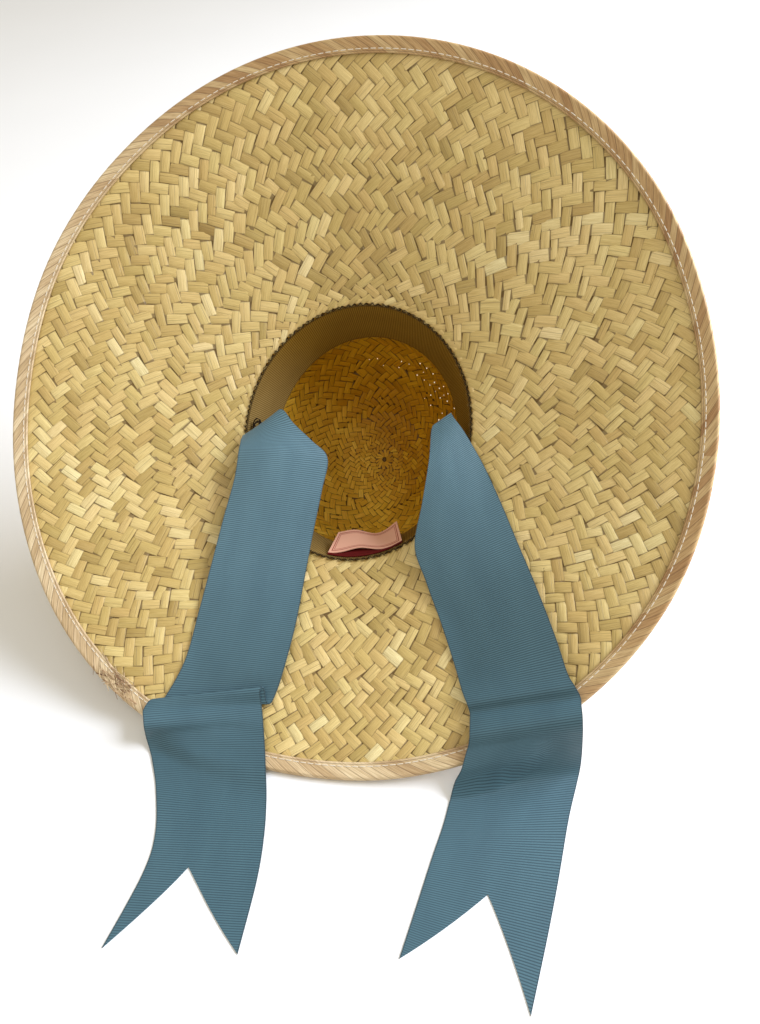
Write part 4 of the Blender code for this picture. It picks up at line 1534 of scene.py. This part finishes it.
RIGHT_ON_FLOOR = (
    (58.8, -186.8, 36.0, 125.4, -190.7, 55.5),
    (60.6, -194.4, 35.0, 128.4, -199.7, 53.8),
    (61.9, -197.4, 31.2, 130.9, -203.5, 50.2),
    (62.1, -200.3, 30.4, 131.4, -206.7, 48.8),
    (61.3, -205.6, 30.6, 130.6, -211.7, 49.2),
    (60.1, -213.5, 30.4, 129.8, -218.7, 48.8),
    (59.1, -217.9, 27.0, 129.6, -222.9, 43.0),
    (57.1, -222.2, 21.0, 130.5, -224.5, 29.0),
    (52.7, -231.0, 11.0, 131.2, -225.8, 14.0),
    (48.0, -235.5, 3.5, 130.2, -230.1, 4.0),
    (44.2, -243.0, 0.5, 126.5, -239.2, 0.5),
    (38.0, -259.5, 0.0, 116.5, -262.5, 0.0),
    (28.5, -281.0, 0.0, 103.5, -297.5, 0.0),
    (18.0, -306.0, 0.0, 90.5, -330.5, 0.0),
    (5.2, -336.0, 0.0, 74.0, -370.0, 0.0),
)
print("rungs:", len(LEFT_ON_HAT) + len(LEFT_ON_FLOOR), "and", len(RIGHT_ON_HAT) + len(RIGHT_ON_FLOOR))

# %% The rungs joined by a smooth curve
SPOT = MOUTH_PLACE * np.array((1.0, 1.0, 0.0))


def rungs_in_world(on_hat, on_floor):
    """All rungs of a tie as rows of left x, y, z, right x, y, z, arch, in metres."""
    rows = []
    for row in on_hat:
        ends = []
        for across, along, height in (row[0:3], row[3:6]):
            radius = math.hypot(across, along) * MM
            angle = math.atan2(along, across)
            mouth = float(mouth_radius(angle))
            base = polar(radius, angle, 0.0)
            if radius >= mouth:
                base = brim_point((radius - mouth) / (float(rim_radius(angle)) - mouth), angle)
            ends.append(to_world(base + np.array((0.0, 0.0, height * MM))))
        rows.append([*ends[0], *ends[1], row[6] * MM])
    for row in on_floor:
        rows.append([*(np.array(row[0:3]) * MM + SPOT), *(np.array(row[3:6]) * MM + SPOT), 0.0])
    return np.array(rows)


def smooth_rungs(rungs, step):
    """Rungs at short steps on one smooth curve through the given ones."""
    padded = np.concatenate((rungs[:1], rungs, rungs[-1:]))
    made = [rungs[0]]
    for before, start, end, after in zip(padded, padded[1:], padded[2:], padded[3:]):
        gap = max(np.linalg.norm(end[0:3] - start[0:3]), np.linalg.norm(end[3:6] - start[3:6]))
        steps = max(2, math.ceil(gap / step))
        made.extend(curve_value(before, start, end, after, k / steps) for k in range(1, steps + 1))
    return np.array(made)


print("the table's rungs are measured from", np.round(SPOT / MM, 1), "mm")

# %% [markdown]
# What lies under a point of a tie is found by halving: a height is tried, and it is raised or
# lowered until it meets the face of the brim. The lift is then spread over the rows before and
# after, because cloth bends softly over an edge.

# %% What a tie lies on
TIE_CLEARANCE = 1.3 * MM
EDGE_ROUND = 8.0 * MM
HIGHEST = 400.0 * MM
HALVINGS = 24
BEND_ROWS = 3


def face_height(radius, angle):
    """Height over the mouth plane of the brim's upper face."""
    mouth = mouth_radius(angle)
    share = np.maximum(radius - mouth, 0.0) / (rim_radius(angle) - mouth)
    return brim_point(share, angle)[..., 2]


def cover_height(points):
    """Height of what a tie lies on: the brim, its tape, or the bend past the edge."""
    low = np.zeros(len(points))
    high = np.full(len(points), HIGHEST)

    def in_hat(height):
        inside = to_hat(np.stack((points[:, 0], points[:, 1], height), axis=1))
        radius = np.hypot(inside[:, 0], inside[:, 1])
        return radius, np.arctan2(inside[:, 1], inside[:, 0]), inside[:, 2]

    for _ in range(HALVINGS):
        middle = (low + high) / 2.0
        radius, angle, height = in_hat(middle)
        above = height > face_height(radius, angle)
        high = np.where(above, middle, high)
        low = np.where(above, low, middle)
    radius, angle, _ = in_hat(high)
    past = radius - rim_radius(angle)
    fall = EDGE_ROUND - np.sqrt(np.maximum(0.0, EDGE_ROUND**2 - np.maximum(0.0, past) ** 2))
    bound = high + BINDING_CLEARANCE + BINDING_THICKNESS - fall
    cover = np.where(past < -BINDING_WIDTH - BINDING_CLEARANCE, high, bound)
    return np.where((radius < mouth_radius(angle)) | (past >= EDGE_ROUND), 0.0, cover)


def lay_clear(points):
    """Raise a grid of points until it clears the brim, its tape and the table, in soft bends."""
    flat = points.reshape(-1, 3)
    cover = cover_height(flat)
    lowest = np.where(cover > 0.0, cover + TIE_CLEARANCE, 0.0)
    lift = np.maximum(lowest - flat[:, 2], 0.0).reshape(points.shape[:2])
    padded = np.pad(lift, ((BEND_ROWS, BEND_ROWS), (0, 0)), mode="edge")
    rows = len(lift)
    highest = np.max([padded[k:k + rows] for k in range(2 * BEND_ROWS + 1)], axis=0)
    padded = np.pad(highest, ((BEND_ROWS, BEND_ROWS), (0, 0)), mode="edge")
    soft = np.mean([padded[k:k + rows] for k in range(2 * BEND_ROWS + 1)], axis=0)
    raised = points.copy()
    raised[..., 2] += soft
    return raised


print("the clearance under a tie is", TIE_CLEARANCE / MM, "mm")

# %% [markdown]
# The swallow-tail is cut, not moulded: every column of the grid stops at the cut, and the rows
# past it are dropped. That leaves a clean edge that crosses the ribs.

# %% The grid of a tie
TIE_COLUMNS = 17
TIE_STEP = 1.5 * MM
TIE_THICKNESS = 0.7 * MM
CLOTH_EDGE = math.radians(50.0)

# the swallow-tails: depth of the cut, and its place across the ribbon
LEFT_NOTCH = (50.0 * MM, 0.375)
RIGHT_NOTCH = (53.0 * MM, 0.5)


def tie_grid(on_hat, on_floor, notch):
    """Points, places on the flat ribbon and last rows of a tie, and its length."""
    rungs = smooth_rungs(rungs_in_world(on_hat, on_floor), TIE_STEP)
    left = np.linalg.norm(np.diff(rungs[:, 0:3], axis=0), axis=1)
    right = np.linalg.norm(np.diff(rungs[:, 3:6], axis=0), axis=1)
    along = np.concatenate(((0.0,), np.cumsum((left + right) / 2.0)))
    total = float(along[-1])
    wanted = np.linspace(0.0, total, math.ceil(total / TIE_STEP) + 1)
    across = np.linspace(0.0, 1.0, TIE_COLUMNS)
    depth, place = notch
    ends = total - depth * np.minimum(across / place, (1.0 - across) / (1.0 - place))
    place = np.minimum(wanted[:, None], ends[None, :])
    rung = np.stack([np.interp(place, along, rungs[:, k]) for k in range(7)], axis=-1)
    share = across[None, :, None]
    points = rung[..., 0:3] * (1.0 - share) + rung[..., 3:6] * share
    points = points + 4.0 * share * (1.0 - share) * rung[..., 6:7] * HAT_TURN[:, 2]
    points = lay_clear(points)
    finals = [int(np.searchsorted(wanted, end)) for end in ends]
    uv = np.stack((np.broadcast_to(across * TIE_WIDTH, place.shape), place), axis=-1)
    return points, uv, finals, total


print("the cuts are", [round(depth / MM) for depth, _ in (LEFT_NOTCH, RIGHT_NOTCH)], "mm deep")


# %% Cut and thicken the ties
def cut_faces(rows, finals):
    """Quads of the tie's grid, with every column stopped at its last row."""
    faces = []
    columns = len(finals)
    for r in range(rows - 1):
        for c in range(columns - 1):
            near, far = min(r, finals[c]), min(r, finals[c + 1])
            after, beyond = min(r + 1, finals[c]), min(r + 1, finals[c + 1])
            face = [near * columns + c, far * columns + c + 1]
            face += [beyond * columns + c + 1, after * columns + c]
            face = [i for k, i in enumerate(face) if i != face[k - 1]]
            if len(face) > 2:
                faces.append(face)
    return faces


def thicken(piece, thickness, offset):
    """Give a sheet of cloth its thickness, with crisp edges."""
    wall = piece.modifiers.new("thickness", "SOLIDIFY")
    wall.thickness = thickness
    wall.offset = offset
    wall.use_even_offset = False
    apply_modifiers(piece)
    piece.data.set_sharp_from_angle(angle=CLOTH_EDGE)


def make_tie(name, on_hat, on_floor, notch):
    """A tie as a closed thin sheet, ending in a swallow-tail, and its length."""
    points, uv, finals, total = tie_grid(on_hat, on_floor, notch)
    tie = new_mesh_object(name, points, cut_faces(len(points), finals), TEAL)
    set_uv(tie.data, uv)
    cut = bmesh.new()
    cut.from_mesh(tie.data)
    bmesh.ops.delete(cut, geom=[v for v in cut.verts if not v.link_faces], context="VERTS")
    cut.to_mesh(tie.data)
    cut.free()
    thicken(tie, TIE_THICKNESS, -1.0)
    print(name, "is", round(total / MM), "mm long")
    return tie, total


tie_left, left_length = make_tie("tie_left", LEFT_ON_HAT, LEFT_ON_FLOOR, LEFT_NOTCH)
tie_right, right_length = make_tie("tie_right", RIGHT_ON_HAT, RIGHT_ON_FLOOR, RIGHT_NOTCH)
declare(tie_left, "ribbon_left")
declare(tie_right, "ribbon_right")

# %% [markdown]
# ## The band inside the mouth
#
# A ribbed band runs round the inside of the mouth. Its outer edge is overlocked to the straw
# with dark thread, and its free edge leans in a little.

# %% The band
BAND_LEAN_IN = 12.5 * MM
BAND_TOP = 0.6 * MM
BAND_GAP = 0.35 * MM
BAND_STEPS = 1080
BAND_ROWS = 9
BAND_CLOTH = 0.8 * MM


def band_point(angle, share, stand_off=0.0):
    """A point on the band's outer face, at a share of its width down into the crown."""
    radius = mouth_radius(angle) - BAND_GAP - BAND_LEAN_IN * share - stand_off
    return polar(radius, angle, BAND_TOP - BAND_WIDTH * share)


def make_band():
    """The band as a closed ring of quads, and its length round the mouth."""
    angle = np.arange(BAND_STEPS) / BAND_STEPS * math.tau
    share = np.linspace(0.0, 1.0, BAND_ROWS)
    outer = band_point(angle[:, None], share[None, :])
    inner = band_point(angle[:, None], share[None, ::-1], BAND_CLOTH)
    points = np.concatenate((outer, inner), axis=1)
    faces = grid_faces(BAND_STEPS, 2 * BAND_ROWS, ring=True, closed=True)
    made = new_mesh_object("band", to_world(points), faces, TAUPE)
    face_outwards(made)
    made.data.set_sharp_from_angle(angle=CLOTH_EDGE)
    steps = np.linalg.norm(np.diff(points[:, 0], axis=0, prepend=points[-1:, 0]), axis=1)
    around = np.cumsum(steps)
    length = float(around[-1])
    down = np.concatenate((share, share[::-1])) * BAND_WIDTH
    set_uv(made.data, np.stack(np.broadcast_arrays(down[None, :], around[:, None]), axis=-1), length)
    return made, length


band, band_length = make_band()
declare(band, "sweatband")
print("the band is", round(band_length / MM), "mm round")

# %% [markdown]
# The overlock that holds the band is a zigzag of dark thread: bars that lean to and fro along
# the mouth. At the left a longer loop of the same thread was never trimmed.

# %% The overlock and the loose loop
OVERLOCK_PITCH = 2.2 * MM
OVERLOCK_SIZE = np.array((2.7, 0.55, 0.5)) * MM
OVERLOCK_SWING = 0.65
OVERLOCK_OUT = 0.3 * MM
OVERLOCK_LIFT = 0.35 * MM
LOOP_MIDDLE = np.array((-78.6, -4.4, -1.6)) * MM
LOOP_SIZE = np.array((7.6, 10.0, 4.0)) * MM
LOOP_BARS = 44
LOOP_TURNS = 2.6
LOOP_THREAD = 1.0 * MM
LOOP_WOBBLE = 1.3
LOOP_SHRINK = 0.04
LOOP_OVERLAP = 1.5


def loose_loop():
    """Places, facings, directions and sizes of the bars of the loop."""
    turn = np.linspace(0.0, LOOP_TURNS * math.tau, LOOP_BARS)
    ring = np.stack((np.cos(turn), np.sin(turn), np.sin(LOOP_WOBBLE * turn)), axis=1) * LOOP_SIZE / 2.0
    ring = ring * (1.0 - LOOP_SHRINK * turn[:, None])
    along = np.gradient(ring, axis=0)
    facing = unit(np.cross(along, np.cross((0.0, 0.0, 1.0), along)))
    thread = np.full(LOOP_BARS, LOOP_THREAD)
    size = np.stack((np.linalg.norm(along, axis=1) * LOOP_OVERLAP, thread, thread), axis=1)
    return LOOP_MIDDLE + ring, facing, along, size


def make_overlock():
    """The zigzag all round the mouth, and the loop."""
    count = 2 * round(band_length / OVERLOCK_PITCH / 2.0)
    angle = np.arange(count) / count * math.tau
    places = band_point(angle, 0.0, -OVERLOCK_OUT) + np.array((0.0, 0.0, OVERLOCK_LIFT))
    about = unit(np.roll(places, -1, axis=0) - places)
    outwards = polar(1.0, angle, 0.0)
    swing = np.where(np.arange(count) % 2 == 0, OVERLOCK_SWING, -OVERLOCK_SWING)[:, None]
    along = about * np.cos(swing) + outwards * np.sin(swing)
    facing = np.broadcast_to(np.array((0.0, 0.0, 1.0)), along.shape)
    zigzag = (places, facing, along, np.tile(OVERLOCK_SIZE, (count, 1)))
    return lay_bars("overlock", *map(np.concatenate, zip(zigzag, loose_loop())), DARK_THREAD)


declare(make_overlock(), "sweatband")

# %% [markdown]
# High in the crown the weave has opened between some strips, and daylight shows through as
# small bright points. Each is a tiny bright bead that sits in the gap.

# %% Daylight through the crown
HOLE_SEED = 41
HOLE_RINGS = (10, 14)
HOLE_SPAN = (math.radians(32.0), math.radians(112.0))
HOLE_SHARE = 0.9
HOLE_LIFT = 0.75 * MM
HOLE_SIZES = (0.45, 1.15)
HOLE_SHAPE = np.array((1.0, 0.8, 0.5)) * MM
DAYLIGHT_WARM = (1.0, 0.86, 0.55, 1.0)
DAYLIGHT_PALE = (1.0, 0.97, 0.86, 1.0)
DAYLIGHT_STRENGTH = 0.9


def make_daylight():
    """Small beads where floats of the chosen rings end, fewer towards the left."""
    rng = np.random.default_rng(HOLE_SEED)
    low, foot, high, top = float_ends(INSIDE_FLOATS)
    ring = INSIDE_FLOATS[:, 0]
    inside = (ring >= HOLE_RINGS[0]) & (ring <= HOLE_RINGS[1])
    inside &= (top % math.tau > HOLE_SPAN[0]) & (top % math.tau < HOLE_SPAN[1])
    fewer = (HOLE_SPAN[1] - top % math.tau) / (HOLE_SPAN[1] - HOLE_SPAN[0])
    inside &= rng.uniform(0.0, 1.0, len(ring)) < HOLE_SHARE * fewer
    way, angle = high[inside], top[inside]
    places = middle_of_straw(way, angle, HOLE_LIFT)
    facing = straw_normal(way, angle)
    along = middle_of_straw(way + 1.0 * MM, angle) - middle_of_straw(way, angle)
    sizes = rng.uniform(*HOLE_SIZES, (len(way), 1)) * HOLE_SHAPE
    return lay_bars("daylight_points", places, facing, along, sizes, DAYLIGHT)


def make_daylight_material():
    """Warm light that doesn't depend on the lamps."""
    material, tree, shader = new_material("daylight")
    colour = tree.mix(tree.noise(tree.place(), 90.0), DAYLIGHT_WARM, DAYLIGHT_PALE)
    values = {"Base Color": colour, "Emission Color": colour, "Emission Strength": DAYLIGHT_STRENGTH}
    tree.give(shader, values)
    return material


DAYLIGHT = make_daylight_material()
declare(make_daylight(), "crown")

# %% [markdown]
# ## The label
#
# A small woven label is sewn at its ends over the band at the back, and buckles between them.
# Under its buckled edge shows the dark red cloth that backs it.

# %% Sizes of the label
LABEL_WIDTH = 60.0 * MM
LABEL_HEIGHT = 24.0 * MM
LABEL_ANGLE = math.radians(-76.5)
LABEL_LEAN = math.radians(42.0)
LABEL_WAVE = 5.2 * MM
LABEL_STAND = 1.7 * MM
LABEL_START = 0.06
LABEL_COLUMNS = 61
LABEL_ROWS = 25
LABEL_BUCKLE = 4.4 * MM
BUCKLE_PLACE = 0.10
BUCKLE_HALF = 0.26
LEAN_OF_BUCKLE = 0.7
WAVE_PLACE = 0.24
WAVE_LENGTH = 0.86
RIGHT_END_FALL = 0.45
BACKING_HEIGHT = 14.0 * MM
BACKING_LEAN = math.radians(35.0)
BACKING_START = 0.03
BACKING_STAND = 1.5 * MM
LABEL_CLOTH = 0.6 * MM
# the two woven lines: distance from the edge, half their width
BORDER_LINES = ((2.4 * MM, 0.5 * MM), (3.8 * MM, 0.3 * MM))
LABEL_THREAD = 0.4 * MM
LABEL_RELIEF = 0.05 * MM
print("the label is", round(LABEL_WIDTH / MM), "x", round(LABEL_HEIGHT / MM), "mm")


# %% The label's material
def make_label_material(name, field, border):
    """Woven label: a bare field with a thick and a thin line round it. UV is in metres."""
    material, tree, shader = new_material(name)
    u, v, _ = tree.split(tree.uv())
    from_side = tree.math("MINIMUM", u, tree.math("SUBTRACT", LABEL_WIDTH, u))
    from_end = tree.math("MINIMUM", v, tree.math("SUBTRACT", LABEL_HEIGHT, v))
    inset = tree.math("MINIMUM", from_side, from_end)
    lines = []
    for distance, half in BORDER_LINES:
        off = tree.math("ABSOLUTE", tree.math("SUBTRACT", inset, distance))
        lines.append(tree.between(off, half / 2.0, half, 1.0, 0.0))
    colour = tree.mix(tree.math("MAXIMUM", *lines), (*field, 1.0), (*border, 1.0))
    thread = tree.math("SINE", tree.math("MULTIPLY", v, math.tau / LABEL_THREAD))
    values = {
        "Base Color": colour,
        "Roughness": 0.7,
        "Normal": tree.bump(thread, 0.3, LABEL_RELIEF),
        "Specular IOR Level": 0.2,
    }
    tree.give(shader, values)
    return material


PINK = make_label_material("pink_label", (0.72, 0.385, 0.27), (0.33, 0.07, 0.05))
RED = make_label_material("red_backing", (0.11, 0.004, 0.004), (0.08, 0.003, 0.003))
print("materials", PINK.name, RED.name)


# %% The buckled sheets
def label_sheet(name, height, start, stand, lean_angle, wave, buckle, material):
    """A closed thin sheet over the band: flat where it is sewn, buckled between its ends."""
    across = np.linspace(-0.5, 0.5, LABEL_COLUMNS)[None, :]
    row = np.linspace(0.0, 1.0, LABEL_ROWS)[:, None]
    angle = LABEL_ANGLE + across * LABEL_WIDTH / float(mouth_radius(LABEL_ANGLE))
    raised = buckle * np.exp(-(((across + BUCKLE_PLACE) / BUCKLE_HALF) ** 2)) * (1.0 - row)
    inward = height * row + raised
    rolling = (1.0 + np.cos(math.tau * (across + WAVE_PLACE) / WAVE_LENGTH)) / 2.0
    lower = 1.0 - RIGHT_END_FALL * np.clip(2.0 * across, 0.0, 1.0)
    lean = inward * math.sin(lean_angle) + wave * rolling * lower * row + LEAN_OF_BUCKLE * raised
    points = band_point(angle, start, stand)
    points = points + polar(-lean, angle, -inward * math.cos(lean_angle))
    made = new_mesh_object(name, to_world(points), grid_faces(LABEL_ROWS, LABEL_COLUMNS), material)
    flat = np.broadcast_arrays((across + 0.5) * LABEL_WIDTH, height * row)
    set_uv(made.data, np.stack(flat, axis=-1))
    thicken(made, LABEL_CLOTH, 1.0)
    return made


label = label_sheet(
    "label", LABEL_HEIGHT, LABEL_START, LABEL_STAND, LABEL_LEAN, LABEL_WAVE, LABEL_BUCKLE, PINK
)
backing = label_sheet(
    "label_backing", BACKING_HEIGHT, BACKING_START, BACKING_STAND, BACKING_LEAN, 0.0, 0.0, RED
)
declare(label, "back_label")
declare(backing, "back_label")

# %% [markdown]
# ## The ties' cut sizes
#
# The ties, the band and the label are sheets of cloth. The size that each tie was cut to is printed.

for tie, length, notch in ((tie_left, left_length, LEFT_NOTCH), (tie_right, right_length, RIGHT_NOTCH)):
    print(tie.name, "was cut from", round(TIE_WIDTH / MM), "x", round(length / MM), "mm")

# %% [markdown]
# ## Floor, light and camera
#
# The hat lies on a pale floor in soft light: a window from the right, a little light from the
# room, and an even, warm surround. The camera looks down at it at about 44 degrees from 0.7 metres.

# %% The floor
FLOOR_HALF = 3.0
FLOOR_SHADE = (0.86, 0.855, 0.845, 1.0)
FLOOR_PALE = (0.90, 0.895, 0.885, 1.0)


def make_floor():
    """A wide pale square, kept apart from the hat's pieces."""
    corners = [(-FLOOR_HALF, -FLOOR_HALF, 0.0), (FLOOR_HALF, -FLOOR_HALF, 0.0)]
    corners += [(FLOOR_HALF, FLOOR_HALF, 0.0), (-FLOOR_HALF, FLOOR_HALF, 0.0)]
    material, tree, shader = new_material("pale_floor")
    colour = tree.mix(tree.noise(tree.place(), 3.0), FLOOR_SHADE, FLOOR_PALE)
    tree.give(shader, {"Base Color": colour, "Roughness": 0.9})
    floor = new_mesh_object("floor", corners, [[0, 1, 2, 3]], material, smooth=False)


make_floor()
print("the floor is", 2.0 * FLOOR_HALF, "m wide")

# %% Lights
# columns: name, place, what it aims at, size, power, colour
LIGHTS = (
    ("window", (1.66, 0.26, 1.10), (0.0, 0.0, 0.08), 1.4, 84.0, (0.88, 0.95, 1.10)),
    ("room", (-0.3, -0.9, 1.9), (0.0, 0.0, 0.05), 1.6, 6.0, (1.0, 0.97, 0.90)),
)
ROOM_COLOUR = (1.0, 0.94, 0.81, 1.0)
ROOM_STRENGTH = 0.62


def add_area_light(name, place, aim, size, power, colour):
    """A square light that looks from its place at its aim."""
    data = bpy.data.lights.new(name, "AREA")
    data.shape = "SQUARE"
    data.size = size
    data.energy = power
    data.color = colour
    light = bpy.data.objects.new(name, data)
    light.location = place
    light.rotation_euler = (Vector(aim) - Vector(place)).to_track_quat("-Z", "Y").to_euler()
    bpy.context.scene.collection.objects.link(light)


for row in LIGHTS:
    add_area_light(*row)
world = bpy.data.worlds.new("soft_room")
world.use_nodes = True
world.node_tree.nodes["Background"].inputs["Color"].default_value = ROOM_COLOUR
world.node_tree.nodes["Background"].inputs["Strength"].default_value = ROOM_STRENGTH
bpy.context.scene.world = world
bpy.context.scene.view_settings.view_transform = "Standard"
print("lights:", ", ".join(row[0] for row in LIGHTS))

# %% The camera
CAMERA_PLACE = (0.02308, -0.41827, 0.52859)
CAMERA_DIP = math.radians(44.45)
CAMERA_ROLL = math.radians(-4.33)
SENSOR_HEIGHT = 36.0
LENS = 30.83
camera_data = bpy.data.cameras.new("camera")
camera_data.sensor_fit = "VERTICAL"
camera_data.sensor_height = SENSOR_HEIGHT
camera_data.lens = LENS
camera = bpy.data.objects.new("camera", camera_data)
tipped = Matrix.Rotation(math.radians(90.0) - CAMERA_DIP, 4, "X")
rolled = Matrix.Rotation(CAMERA_ROLL, 4, "Z")
camera.matrix_world = Matrix.Translation(CAMERA_PLACE) @ tipped @ rolled
bpy.context.scene.collection.objects.link(camera)
bpy.context.scene.camera = camera
print("the camera stands at", CAMERA_PLACE)

# %% Finish
for pattern in (STRIP, BAR):
    bpy.data.objects.remove(pattern, do_unlink=True)
